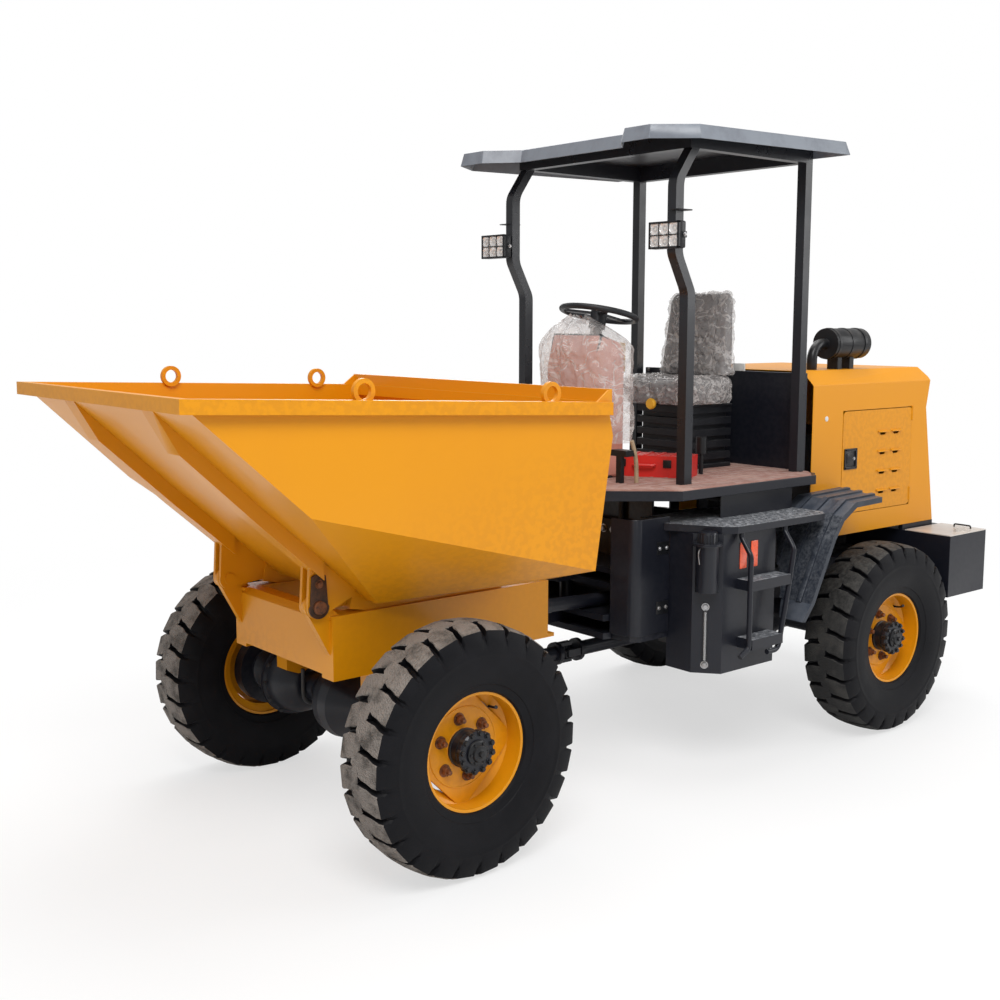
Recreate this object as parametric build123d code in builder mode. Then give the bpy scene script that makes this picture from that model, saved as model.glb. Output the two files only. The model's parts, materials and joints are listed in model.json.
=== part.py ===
"""Articulated site dumper: a front-tipping skip on a short front chassis, hinged to a rear
unit that carries the driver's platform, canopy, engine hood and tail box.

Millimetres. +X is forward, +Y is the driver's left, +Z is up, and the ground is at Z 0.
The origin is under the middle of the overall length.
"""
import os
from math import atan2, cos, degrees, hypot, radians, sin, tan

from build123d import *

os.makedirs("parts", exist_ok=True)

# ---------------------------------------------------------------- driving dimensions
WHEELBASE = 2445
FRONT_OVERHANG = 973  # front axle to the lip of the skip
REAR_OVERHANG = 818  # rear axle to the back of the tail box
FRONT_X = (REAR_OVERHANG + WHEELBASE - FRONT_OVERHANG) / 2  # front axle
REAR_X = FRONT_X - WHEELBASE  # rear axle
HINGE_X = FRONT_X - 1120  # upright pin that joins the two halves
TRACK = 1400
TYRE_R = 435
TYRE_W = 236
RIM_R = 203  # bead seat of a 16-inch rim
RIM_FLANGE_R = 234
RIM_W = 174
SEAT_GAP = 0.3  # between faces that seat on each other
PIN_PLAY = 0.1  # between a pin and the bush it turns in
RUN_GAP = 0.5  # between a turning piece and its neighbour

# ---------------------------------------------------------------- skip
LIP_X = FRONT_X + FRONT_OVERHANG
SKIP_REAR_X = FRONT_X - 569
LIP_Z = 1650
RIM_REAR_Z = 1591
LIP_HALF = 661
REAR_HALF = 835
RIM_OUT = 35  # rim bar outside the wall
RIM_H = 45
SKIP_WALL = 6
CREASE_FRONT = (FRONT_X + 558, 673, 1270)  # lower front corner of the side wall: x, y, z
CREASE_REAR = (FRONT_X - 530, 794, 990)  # lower rear corner of the side wall
REAR_BEND = (31, 3, 1470)  # where the rear wall bends: out past the rim in x and y, and z
BOTTOM_Z = 895
BOTTOM_FRONT_X = FRONT_X + 130
BOTTOM_HALF = (390, 450)  # flat bottom: half-width in front and behind
BOTTOM_REAR_X = FRONT_X - 520
GUARD_H = 45  # spill guard above the rear rim
GUARD_T = 16
GUSSET = 65  # foot of the gusset at each end of the guard
EYE_X = (FRONT_X + 370, FRONT_X - 340)  # lifting eyes
EYE_UP = 27  # above the rim
EYE_OUT_R = 40
EYE_IN_R = 25
EYE_T = 14
TIP_X = FRONT_X + 342
TIP_Z = 903
PIN_R = 22

# ---------------------------------------------------------------- front chassis
CHASSIS_FRONT_X = FRONT_X + 287
CHASSIS_REAR_X = FRONT_X - 702
CHASSIS_HALF = 349
CHASSIS_Z = (648, 863)
CHASSIS_PLATE = 12
LUG_Y = (302, 330)  # chassis lug between each pair of skip ears
EAR_T = 14
EAR_GAP = 1.0

# ---------------------------------------------------------------- hydraulic cylinders
RAM_BASE = (FRONT_X - 620, 620)  # tipping cylinder, pin on the chassis: x, z
RAM_EYE = (FRONT_X - 80, 830)  # and pin on the skip
RAM_BARREL_R = 45
RAM_ROD_R = 24
RAM_EYE_R = 36
RAM_EYE_W = 50
STEER_Z = 716
STEER_EYE = (HINGE_X + 480, 170)  # steering cylinder, pin on the front chassis: x, y
STEER_BASE = (HINGE_X - 140, 270)  # and pin on the rear frame
STEER_BARREL_R = 28
STEER_ROD_R = 14
STEER_EYE_R = 25
STEER_EYE_W = 36

# ---------------------------------------------------------------- rear unit
NOSE_X = HINGE_X + 130  # front edge of the hinge forks
LOWER_FORK = ((580, 606), (656, 682))  # bottom and top of each plate
UPPER_FORK = ((776, 799), (840, 862))
COVER_HALF = 500  # outside of the front side covers
COVER_T = 4
HINGE_PIN_R = 32
FRAME_HALF = 310
TANK_X = (REAR_X + 805, HINGE_X - 115)
TANK_Y = (488, 720)
FRAME_Z = (578, 722)
FRAME_PLATE = 12
DECK_Z = 1200
DECK_T = 40
DECK_FRONT_X = HINGE_X + 175
DECK_HALF = 605
DECK_NOSE_HALF = 400
DECK_CORNER_X = HINGE_X - 70
MAT_T = 8
FIREWALL_X = REAR_X + 345
FIREWALL_T = 30
HOOD_FRONT_X = REAR_X + 267
HOOD_REAR_X = REAR_X - 726
HOOD_LEAN = 36  # the back of the hood leans in at door height
HOOD_HALF = 489
HOOD_Z = (876, 1652)
HOOD_CHAMFER = 65
HOOD_T = 4
TAIL_X = (REAR_X - REAR_OVERHANG, REAR_X - 492)
TAIL_HALF = 753
TAIL_Z = (549, 849)
LID_T = 4

# ---------------------------------------------------------------- canopy
POST = 45
POST_Y = 500
POST_FRONT_X = HINGE_X - 190
POST_REAR_X = REAR_X + 395
ROOF_Z = (2556, 2611)
ROOF_RISE = 1.1  # degrees, up to the rear
ROOF_X = (REAR_X + 350, HINGE_X + 130)
ROOF_HALF = 700


def block(x, y, z, mode=Mode.ADD):
    """A box between two limits on each axis."""
    with Locations(((x[0] + x[1]) / 2, (y[0] + y[1]) / 2, (z[0] + z[1]) / 2)):
        Box(x[1] - x[0], y[1] - y[0], z[1] - z[0], mode=mode)


def side_plate(points, y, mode=Mode.ADD):
    """A plate cut to an outline of (x, z) points, between two y limits."""
    with BuildSketch(Plane.XZ.offset(-y[1])) as outline:
        with BuildLine():
            Polyline(*points, close=True)
        make_face()
    extrude(outline.sketch, amount=y[1] - y[0], mode=mode)


def flat_plate(points, z, mode=Mode.ADD):
    """A plate cut to an outline of (x, y) points, between two z limits."""
    with BuildSketch(Plane.XY.offset(z[0])) as outline:
        with BuildLine():
            Polyline(*points, close=True)
        make_face()
    extrude(outline.sketch, amount=z[1] - z[0], mode=mode)


def cross_plate(points, x, mode=Mode.ADD):
    """A plate cut to an outline of (y, z) points, between two x limits."""
    with BuildSketch(Plane.YZ.offset(x[0])) as outline:
        with BuildLine():
            Polyline(*points, close=True)
        make_face()
    extrude(outline.sketch, amount=x[1] - x[0], mode=mode)


def rod_y(x, z, r, y, mode=Mode.ADD):
    """A round bar along Y."""
    with BuildSketch(Plane.XZ.offset(-y[1])) as outline:
        with Locations((x, z)):
            Circle(r)
    extrude(outline.sketch, amount=y[1] - y[0], mode=mode)


def rod_z(x, y, r, z, mode=Mode.ADD):
    """A round bar along Z."""
    with BuildSketch(Plane.XY.offset(z[0])) as outline:
        with Locations((x, y)):
            Circle(r)
    extrude(outline.sketch, amount=z[1] - z[0], mode=mode)


def rod_x(y, z, r, x, mode=Mode.ADD):
    """A round bar along X."""
    with BuildSketch(Plane.YZ.offset(x[0])) as outline:
        with Locations((y, z)):
            Circle(r)
    extrude(outline.sketch, amount=x[1] - x[0], mode=mode)


def save(builder, name):
    """Label a finished piece and write it to its STEP file."""
    builder.part.label = name
    export_step(builder.part, f"parts/{name}.step")


def mirrored(points):
    """An outline on the +Y side followed by its mirror image."""
    return list(points) + [(x, -y) for x, y in reversed(points)]


# ================================================================ wheels
TREAD_HALF = TYRE_W / 2 - 16
RIM_HALF = RIM_W / 2
RIM_T = 7
WELL_R = 172
DISC_FACE = -30  # outer face of the wheel disc, from the wheel's middle
DISC_T = 12
DISC_HALF = 126  # half-side of the square disc, whose corners reach the rim
HUB_R = 65
HUB_FLANGE_R = 73
HUB_END = 85
DRUM_R = 148
DRUM_IN = -112

WHEELS = (  # name, axle, side
    ("front_left", FRONT_X, 1),
    ("front_right", FRONT_X, -1),
    ("rear_left", REAR_X, 1),
    ("rear_right", REAR_X, -1),
)

for wheel_name, axle_x, side in WHEELS:
    middle = (axle_x, side * TRACK / 2, TYRE_R)
    section = Plane(origin=middle, x_dir=(0, side, 0), z_dir=(side, 0, 0))
    axle_line = Axis(middle, (0, 1, 0))

    with BuildPart() as tyre:
        with BuildSketch(section):
            with BuildLine():
                for s in (1, -1):
                    bead = (s * (RIM_HALF - 11), RIM_R + SEAT_GAP)
                    heel = (s * (RIM_HALF - 8), RIM_FLANGE_R)
                    shoulder = (s * TYRE_W / 2 - s * 3, TYRE_R - 38)
                    toe = (s * (RIM_HALF - 32), RIM_R + SEAT_GAP)
                    inner = (s * (TREAD_HALF - 14), TYRE_R - 42)
                    Line(bead, heel)
                    ThreePointArc(heel, (s * TYRE_W / 2, (RIM_FLANGE_R + TYRE_R) / 2), shoulder)
                    Line(shoulder, (s * TREAD_HALF, TYRE_R))
                    Line(bead, toe)
                    ThreePointArc(toe, (s * (TYRE_W / 2 - 16), (RIM_FLANGE_R + TYRE_R) / 2), inner)
                Line((TREAD_HALF, TYRE_R), (-TREAD_HALF, TYRE_R))
                Line((TREAD_HALF - 14, TYRE_R - 42), (14 - TREAD_HALF, TYRE_R - 42))
            make_face()
        revolve(axis=axle_line)
    save(tyre, f"tyre_{wheel_name}")

    rim_path = (  # distance from the wheel's middle, radius of the bead side
        (RIM_HALF, RIM_FLANGE_R),
        (RIM_HALF - 6, RIM_FLANGE_R - 4),
        (RIM_HALF - 10, RIM_R),
        (42, RIM_R),
        (28, WELL_R),
        (-34, WELL_R),
        (-48, RIM_R),
        (10 - RIM_HALF, RIM_R),
        (6 - RIM_HALF, RIM_FLANGE_R - 4),
        (-RIM_HALF, RIM_FLANGE_R),
    )
    with BuildPart() as wheel:
        with BuildSketch(section):
            with BuildLine():
                Polyline(*rim_path, *[(u, r - RIM_T) for u, r in reversed(rim_path)], close=True)
            make_face()
        revolve(axis=axle_line)
        disc_plane = Plane(
            origin=(axle_x, side * (TRACK / 2 + DISC_FACE), TYRE_R), x_dir=(1, 0, 0), z_dir=(0, -side, 0)
        )
        with BuildSketch(disc_plane):
            Circle(WELL_R - 2)
            Rectangle(2 * DISC_HALF, 2 * DISC_HALF, rotation=45, mode=Mode.INTERSECT)
            Circle(HUB_R + SEAT_GAP, mode=Mode.SUBTRACT)
        extrude(amount=DISC_T)
    save(wheel, f"wheel_{wheel_name}")

    hub_path = (  # distance from the wheel's middle, radius
        (HUB_END, 0),
        (HUB_END, HUB_FLANGE_R - 6),
        (HUB_END - 6, HUB_FLANGE_R),
        (HUB_END - 20, HUB_FLANGE_R),
        (HUB_END - 20, HUB_R),
        (DISC_FACE - DISC_T - SEAT_GAP, HUB_R),
        (DISC_FACE - DISC_T - SEAT_GAP, DRUM_R - 12),
        (DISC_FACE - DISC_T - 14, DRUM_R),
        (DRUM_IN, DRUM_R),
        (DRUM_IN, 0),
    )
    with BuildPart() as hub:
        with BuildSketch(section):
            with BuildLine():
                Polyline(*hub_path, close=True)
            make_face()
        revolve(axis=axle_line)
    save(hub, f"hub_{wheel_name}")

# ================================================================ axles
AXLE_R = 58
AXLE_END = TRACK / 2 + DRUM_IN - RUN_GAP  # face towards the brake drum
DIFF_R = 145
DIFF_HALF = 75
AXLE_PAD_Y = (262, 338)  # where the saddles of both frames sit on the axles
PINION_R = 62
PINION_END = 265

axle_path = (  # y, radius
    (0, DIFF_R),
    (DIFF_HALF * 0.6, DIFF_R - 6),
    (DIFF_HALF, DIFF_R - 26),
    (150, AXLE_R + 12),
    (185, AXLE_R),
    (AXLE_END - 34, AXLE_R),
    (AXLE_END - 12, 96),
    (AXLE_END, 96),
)
for axle_name, axle_x, nose in (("front_axle", FRONT_X, -1), ("rear_axle", REAR_X, 1)):
    with BuildPart() as axle:
        with BuildSketch(Plane(origin=(axle_x, 0, TYRE_R), x_dir=(0, 1, 0), z_dir=(1, 0, 0))):
            with BuildLine():
                Polyline((-AXLE_END, 0), *[(-y, r) for y, r in reversed(axle_path)], *axle_path[1:],
                         (AXLE_END, 0), close=True)
            make_face()
        revolve(axis=Axis((axle_x, 0, TYRE_R), (0, 1, 0)))
        ends = sorted((axle_x, axle_x + nose * PINION_END))
        rod_x(0, TYRE_R, PINION_R, ends)
        flange = sorted((axle_x + nose * (PINION_END - 20), axle_x + nose * PINION_END))
        rod_x(0, TYRE_R, 58, flange)
    save(axle, axle_name)

# ================================================================ front chassis
AXLE_TOP = TYRE_R + AXLE_R
LUG_R = 40
with BuildPart() as front_chassis:
    for s in (1, -1):
        web = sorted((s * CHASSIS_HALF, s * (CHASSIS_HALF - CHASSIS_PLATE)))
        flange = sorted((s * CHASSIS_HALF, s * (CHASSIS_HALF - 75)))
        lug = sorted((s * LUG_Y[0], s * LUG_Y[1]))
        saddle = sorted((s * AXLE_PAD_Y[0], s * AXLE_PAD_Y[1]))
        block((CHASSIS_REAR_X, CHASSIS_FRONT_X), web, CHASSIS_Z)
        block((CHASSIS_REAR_X, CHASSIS_FRONT_X), flange, (CHASSIS_Z[1] - CHASSIS_PLATE, CHASSIS_Z[1]))
        block((CHASSIS_REAR_X - 33, CHASSIS_FRONT_X), flange, (CHASSIS_Z[0] - 14, CHASSIS_Z[0]))
        side_plate(
            [
                (CHASSIS_FRONT_X - 60, CHASSIS_Z[1] - 20),
                (CHASSIS_FRONT_X - 8, CHASSIS_Z[1] + 25),
                (TIP_X - 26, TIP_Z + 30),
                (TIP_X + 30, TIP_Z + 26),
                (TIP_X + LUG_R, TIP_Z - 6),
                (CHASSIS_FRONT_X, 722),
                (CHASSIS_FRONT_X - 60, 722),
            ],
            lug,
        )
        rod_y(TIP_X, TIP_Z, LUG_R, lug)
        pin = sorted((s * (LUG_Y[0] - EAR_GAP - EAR_T - 4), s * (LUG_Y[1] + EAR_GAP + EAR_T + 4)))
        rod_y(TIP_X, TIP_Z, PIN_R - PIN_PLAY, pin)
        side_plate(
            [
                (FRONT_X - 90, CHASSIS_Z[0]),
                (FRONT_X + 120, CHASSIS_Z[0]),
                (FRONT_X + 120, AXLE_TOP + 20),
                (FRONT_X + 70, AXLE_TOP),
                (FRONT_X - 70, AXLE_TOP),
                (FRONT_X - 90, AXLE_TOP + 20),
            ],
            saddle,
        )
    block(
        (CHASSIS_FRONT_X - CHASSIS_PLATE, CHASSIS_FRONT_X),
        (-CHASSIS_HALF, CHASSIS_HALF),
        (CHASSIS_Z[0], CHASSIS_Z[1] - 22),
    )
    side_plate(
        [
            (CHASSIS_FRONT_X, CHASSIS_Z[1] - 22),
            (CHASSIS_FRONT_X - 22, CHASSIS_Z[1]),
            (CHASSIS_FRONT_X - 75, CHASSIS_Z[1]),
            (CHASSIS_FRONT_X - 75, CHASSIS_Z[1] - CHASSIS_PLATE),
            (CHASSIS_FRONT_X - 28, CHASSIS_Z[1] - CHASSIS_PLATE),
            (CHASSIS_FRONT_X - CHASSIS_PLATE, CHASSIS_Z[1] - 28),
        ],
        (-CHASSIS_HALF, CHASSIS_HALF),
    )
    # rear plate, open for the hitch and the steering cylinder
    block((CHASSIS_REAR_X, CHASSIS_REAR_X + CHASSIS_PLATE), (-CHASSIS_HALF, CHASSIS_HALF), CHASSIS_Z)
    block(
        (CHASSIS_REAR_X - 1, CHASSIS_REAR_X + CHASSIS_PLATE + 1),
        (135, CHASSIS_HALF - CHASSIS_PLATE),
        (CHASSIS_Z[0] + 15, CHASSIS_Z[1] - CHASSIS_PLATE),
        mode=Mode.SUBTRACT,
    )
    # beam and lugs for the foot of the tipping cylinder
    ram_web = (RAM_EYE_W / 2 + EAR_GAP, RAM_EYE_W / 2 + EAR_GAP + 16)
    block((CHASSIS_REAR_X + 10, CHASSIS_REAR_X + 40), (-CHASSIS_HALF + 6, CHASSIS_HALF - 6),
          (CHASSIS_Z[0] - 14, CHASSIS_Z[0] + 15))
    for s in (1, -1):
        side_plate(
            [
                (CHASSIS_REAR_X + 10, CHASSIS_Z[0] + 15),
                (CHASSIS_REAR_X + 10, RAM_BASE[1] - 34),
                (RAM_BASE[0] + 34, RAM_BASE[1] - 34),
                (RAM_BASE[0] + 34, RAM_BASE[1] + 34),
                (RAM_BASE[0] - 20, CHASSIS_Z[0] + 80),
                (CHASSIS_REAR_X + 10, CHASSIS_Z[0] + 80),
            ],
            sorted((s * ram_web[0], s * ram_web[1])),
        )
    rod_y(RAM_BASE[0], RAM_BASE[1], PIN_R - 4, (-ram_web[1] - 8, ram_web[1] + 8))
    # lugs for the rod of the steering cylinder
    for z in ((STEER_Z - STEER_EYE_W / 2 - 17, STEER_Z - STEER_EYE_W / 2 - 1),
              (STEER_Z + STEER_EYE_W / 2 + 1, STEER_Z + STEER_EYE_W / 2 + 17)):
        block((STEER_EYE[0] - 32, STEER_EYE[0] + 40), (STEER_EYE[1] - 32, CHASSIS_HALF - 6), z)
save(front_chassis, "front_chassis")

# ================================================================ hitch tongue
TONGUE_HALF = 105
TONGUE_EYE_R = 70
TONGUE_WEB_X = HINGE_X + 222  # the two eyes join ahead of this, clear of the forks
LOWER_EYE = (LOWER_FORK[0][1] + RUN_GAP, LOWER_FORK[1][0] - RUN_GAP)
UPPER_EYE = (UPPER_FORK[0][1] + RUN_GAP, UPPER_FORK[1][0] - RUN_GAP)
with BuildPart() as hitch_tongue:
    tongue_plan = mirrored(
        [(HINGE_X, TONGUE_EYE_R), (TONGUE_WEB_X, TONGUE_HALF), (CHASSIS_REAR_X - SEAT_GAP, TONGUE_HALF)]
    )
    for eye in (LOWER_EYE, UPPER_EYE):
        flat_plate(tongue_plan, eye)
        rod_z(HINGE_X, 0, TONGUE_EYE_R, eye)
    block((TONGUE_WEB_X, CHASSIS_REAR_X - SEAT_GAP), (-TONGUE_HALF, TONGUE_HALF),
          (LOWER_EYE[0], UPPER_EYE[1]))
    block((TONGUE_WEB_X + 16, CHASSIS_REAR_X - 16), (-TONGUE_HALF - 1, TONGUE_HALF + 1),
          (LOWER_EYE[1], UPPER_EYE[0]), mode=Mode.SUBTRACT)
    block((TONGUE_WEB_X + 8, CHASSIS_REAR_X - 8), (-8, 8), (LOWER_EYE[1] - 1, UPPER_EYE[0] + 1))
    rod_z(HINGE_X, 0, HINGE_PIN_R + RUN_GAP, (LOWER_EYE[0] - 1, UPPER_EYE[1] + 1), mode=Mode.SUBTRACT)
save(hitch_tongue, "hitch_tongue")

# ================================================================ prop shafts
SHAFT_R = 32
JOINT_R = 50
SHAFT_Z = TYRE_R
YOKE_HALF = 16
GEARBOX_X = (REAR_X + PINION_END + SEAT_GAP, REAR_X + 600)
with BuildPart() as front_prop_shaft:
    rod_x(0, SHAFT_Z, SHAFT_R, (HINGE_X + 70, FRONT_X - PINION_END - 19))
    rod_x(0, SHAFT_Z, JOINT_R, (FRONT_X - PINION_END - 20, FRONT_X - PINION_END - SEAT_GAP))
    rod_x(0, SHAFT_Z, JOINT_R, (HINGE_X + 52, HINGE_X + 71))
    for s in (1, -1):
        block((HINGE_X - 22, HINGE_X + 60), (-YOKE_HALF, YOKE_HALF),
              sorted((SHAFT_Z + s * 30, SHAFT_Z + s * 44)))
save(front_prop_shaft, "front_prop_shaft")

with BuildPart() as rear_prop_shaft:
    rod_x(0, SHAFT_Z, SHAFT_R, (GEARBOX_X[1] + 19, HINGE_X - 70))
    rod_x(0, SHAFT_Z, JOINT_R, (GEARBOX_X[1] + SEAT_GAP, GEARBOX_X[1] + 20))
    rod_x(0, SHAFT_Z, JOINT_R, (HINGE_X - 71, HINGE_X - 52))
    for s in (1, -1):
        block((HINGE_X - 60, HINGE_X + 22), sorted((s * 30, s * 44)),
              (SHAFT_Z - YOKE_HALF, SHAFT_Z + YOKE_HALF))
    rod_y(HINGE_X, SHAFT_Z, 9, (-31, 31))
    rod_z(HINGE_X, 0, 9, (SHAFT_Z - 29, SHAFT_Z + 29))
save(rear_prop_shaft, "rear_prop_shaft")

# ================================================================ skip
def skip_half(x):
    """Outer half-width of the rim at x."""
    return LIP_HALF + (LIP_X - x) * (REAR_HALF - LIP_HALF) / (LIP_X - SKIP_REAR_X)


def rim_z(x):
    """Top of the rim at x."""
    return RIM_REAR_Z + (x - SKIP_REAR_X) * (LIP_Z - RIM_REAR_Z) / (LIP_X - SKIP_REAR_X)


def skip_shell(t, top):
    """Solid tub set in by t from the outside, with its walls running up to top above the rim."""
    lip = (LIP_X - t * 1.2, LIP_HALF - RIM_OUT - t)
    rear = (SKIP_REAR_X - 6 + t, REAR_HALF - RIM_OUT - t)
    bend = (SKIP_REAR_X - REAR_BEND[0] + t, REAR_HALF - RIM_OUT + REAR_BEND[1] - t, REAR_BEND[2])
    front = (CREASE_FRONT[0] - t, CREASE_FRONT[1] - t, CREASE_FRONT[2] + t * 0.4)
    back = (CREASE_REAR[0] + t, CREASE_REAR[1] - t, CREASE_REAR[2] + t)
    floor_front = (BOTTOM_FRONT_X - t, BOTTOM_HALF[0] - t, BOTTOM_Z + t)
    floor_rear = (BOTTOM_REAR_X + t, BOTTOM_HALF[1] - t, BOTTOM_Z + t)
    rows = (
        (lip[0], lip[1], LIP_Z + top),
        (rear[0], rear[1], RIM_REAR_Z + top),
        bend,
        front,
        back,
        floor_front,
        floor_rear,
    )
    left = [Vector(*p) for p in rows]
    right = [Vector(p.X, -p.Y, p.Z) for p in left]
    faces = []
    for a, b, m, c, d, e, f in (left, right):
        for corners in ((a, b, c), (b, m, c), (m, d, c), (c, d, e), (d, f, e)):
            faces.append(Face(Wire.make_polygon(corners, close=True)))
    # strips between the sides, round the tub: top, front plate, floor and rear wall
    for p, q in ((0, 1), (0, 3), (3, 5), (5, 6), (1, 2), (2, 4), (4, 6)):
        for corners in ((left[p], right[p], left[q]), (right[p], right[q], left[q])):
            faces.append(Face(Wire.make_polygon(corners, close=True)))
    return Solid(Shell(faces))


with BuildPart() as rim_bars:
    for s in (1, -1):
        flat_plate(
            [
                (LIP_X, s * LIP_HALF),
                (SKIP_REAR_X, s * REAR_HALF),
                (SKIP_REAR_X, s * (REAR_HALF - RIM_OUT)),
                (LIP_X, s * (LIP_HALF - RIM_OUT)),
            ],
            (RIM_REAR_Z - 2 * RIM_H, LIP_Z + RIM_H),
        )
    block((LIP_X - RIM_OUT, LIP_X), (-LIP_HALF, LIP_HALF), (LIP_Z - 2 * RIM_H, LIP_Z + RIM_H))
    block((SKIP_REAR_X - 12, SKIP_REAR_X + 20), (20 - REAR_HALF, REAR_HALF - 20),
          (RIM_REAR_Z - 2 * RIM_H, RIM_REAR_Z + RIM_H))
    # keep a band of even depth along the sloping rim
    band = (LIP_X + 50, SKIP_REAR_X - 50)
    side_plate([(x, rim_z(x)) for x in band] + [(x, rim_z(x) - RIM_H) for x in reversed(band)],
               (-1000, 1000), mode=Mode.INTERSECT)


with BuildPart() as skip:
    add(skip_shell(0, 0))
    add(skip_shell(SKIP_WALL, 30), mode=Mode.SUBTRACT)
    add(rim_bars.part)
    # spill guard on the rear rim, with a gusset at each end
    block((SKIP_REAR_X - 12, SKIP_REAR_X - 12 + GUARD_T), (20 - REAR_HALF, REAR_HALF - 20),
          (RIM_REAR_Z - 5, RIM_REAR_Z + GUARD_H))
    for s in (1, -1):
        side_plate(
            [
                (SKIP_REAR_X, rim_z(SKIP_REAR_X) - 5),
                (SKIP_REAR_X, RIM_REAR_Z + GUARD_H),
                (SKIP_REAR_X + GUSSET, rim_z(SKIP_REAR_X + GUSSET) - 5),
            ],
            sorted((s * (REAR_HALF - 20), s * (REAR_HALF - 28))),
        )
    # lifting eyes inside the side rims
    for s in (1, -1):
        for x in EYE_X:
            face = skip_half(x) - RIM_OUT - SKIP_WALL
            eye_y = sorted((s * (face - EYE_T), s * (face + 2)))
            rod_y(x, rim_z(x) + EYE_UP, EYE_OUT_R, eye_y)
            rod_y(x, rim_z(x) + EYE_UP, EYE_IN_R, eye_y, mode=Mode.SUBTRACT)
save(skip, "skip")

# ================================================================ skip frame
CHANNEL_W = 84
CHANNEL_D = 50
CHANNEL_T = 7
CHANNEL_Y = (LUG_Y[0] + LUG_Y[1]) / 2
EAR_R = 39
RAIL_Y = (280, 330)
LOWER_SLOPE = (CREASE_FRONT[2] - BOTTOM_Z) / (CREASE_FRONT[0] - BOTTOM_FRONT_X)
UPPER_SLOPE = (LIP_Z - CREASE_FRONT[2]) / (LIP_X - CREASE_FRONT[0])


def front_plate_z(x):
    """Height of the underside of the skip's folded front plate at x."""
    if x < CREASE_FRONT[0]:
        return BOTTOM_Z + (x - BOTTOM_FRONT_X) * LOWER_SLOPE
    return CREASE_FRONT[2] + (x - CREASE_FRONT[0]) * UPPER_SLOPE


with BuildPart() as skip_frame:
    stations = (TIP_X - 20, CREASE_FRONT[0], LIP_X - 140)
    lean = hypot(1, LOWER_SLOPE)
    for s in (1, -1):
        # channel under the front plate, its open side against the plate and its top end tapered
        for depth, width, tip, mode in (
            (CHANNEL_D, CHANNEL_W, LIP_X - 56, Mode.ADD),
            (CHANNEL_D - CHANNEL_T, CHANNEL_W - 2 * CHANNEL_T, LIP_X - 74, Mode.SUBTRACT),
        ):
            side_plate(
                [(x, front_plate_z(x) - SEAT_GAP) for x in (*stations[:2], tip)]
                + [(x, front_plate_z(x) - depth * lean) for x in reversed(stations)],
                sorted((s * (CHANNEL_Y - width / 2), s * (CHANNEL_Y + width / 2))),
                mode=mode,
            )
        inner_ear = (LUG_Y[0] - EAR_GAP - EAR_T, LUG_Y[0] - EAR_GAP)
        outer_ear = (LUG_Y[1] + EAR_GAP, LUG_Y[1] + EAR_GAP + EAR_T)
        for ear, back_x in ((inner_ear, BOTTOM_FRONT_X + 20), (outer_ear, BOTTOM_FRONT_X + 60)):
            ear_y = sorted((s * ear[0], s * ear[1]))
            side_plate(
                [
                    (TIP_X + 26, front_plate_z(TIP_X + 26) - SEAT_GAP),
                    (back_x, front_plate_z(back_x) - SEAT_GAP),
                    (back_x + 12, front_plate_z(back_x) - 24),
                    (TIP_X - 26, TIP_Z - 29),
                    (TIP_X + 26, TIP_Z - 20),
                    (TIP_X + EAR_R - 1, TIP_Z + 8),
                ],
                ear_y,
            )
            rod_y(TIP_X, TIP_Z, EAR_R, ear_y)
            rod_y(TIP_X, TIP_Z, PIN_R, ear_y, mode=Mode.SUBTRACT)
        rail_end = BOTTOM_FRONT_X + 60
        side_plate(
            [
                (BOTTOM_REAR_X + 40, BOTTOM_Z - SEAT_GAP),
                (BOTTOM_FRONT_X, BOTTOM_Z - SEAT_GAP),
                (rail_end, front_plate_z(rail_end) - SEAT_GAP),
                (rail_end + 15, CHASSIS_Z[1] + 14),
                (BOTTOM_FRONT_X + 10, CHASSIS_Z[1] + SEAT_GAP),
                (BOTTOM_REAR_X + 40, CHASSIS_Z[1] + SEAT_GAP),
            ],
            sorted((s * RAIL_Y[0], s * RAIL_Y[1])),
        )
    # cross member that carries the lugs for the tipping cylinder
    block((RAM_EYE[0] - 70, RAM_EYE[0] + 70), (-RAIL_Y[0] - 1, RAIL_Y[0] + 1),
          (BOTTOM_Z - 14, BOTTOM_Z - SEAT_GAP))
    eye_lug = (RAM_EYE_W / 2 + EAR_GAP, RAM_EYE_W / 2 + EAR_GAP + 16)
    for s in (1, -1):
        lug_y = sorted((s * eye_lug[0], s * eye_lug[1]))
        side_plate(
            [
                (RAM_EYE[0] - 60, BOTTOM_Z - 10),
                (RAM_EYE[0] + 60, BOTTOM_Z - 10),
                (RAM_EYE[0] + 30, RAM_EYE[1] - 12),
                (RAM_EYE[0] - 30, RAM_EYE[1] - 12),
            ],
            lug_y,
        )
        rod_y(RAM_EYE[0], RAM_EYE[1], RAM_EYE_R - 4, lug_y)
        rod_y(RAM_EYE[0], RAM_EYE[1], PIN_R - 4, sorted((s * (eye_lug[1] - 1), s * (eye_lug[1] + 10))))
save(skip_frame, "skip_frame")

# ================================================================ tipping cylinder
RAM_ANGLE = degrees(atan2(RAM_EYE[1] - RAM_BASE[1], RAM_EYE[0] - RAM_BASE[0]))
RAM_LENGTH = hypot(RAM_EYE[0] - RAM_BASE[0], RAM_EYE[1] - RAM_BASE[1])


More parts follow.
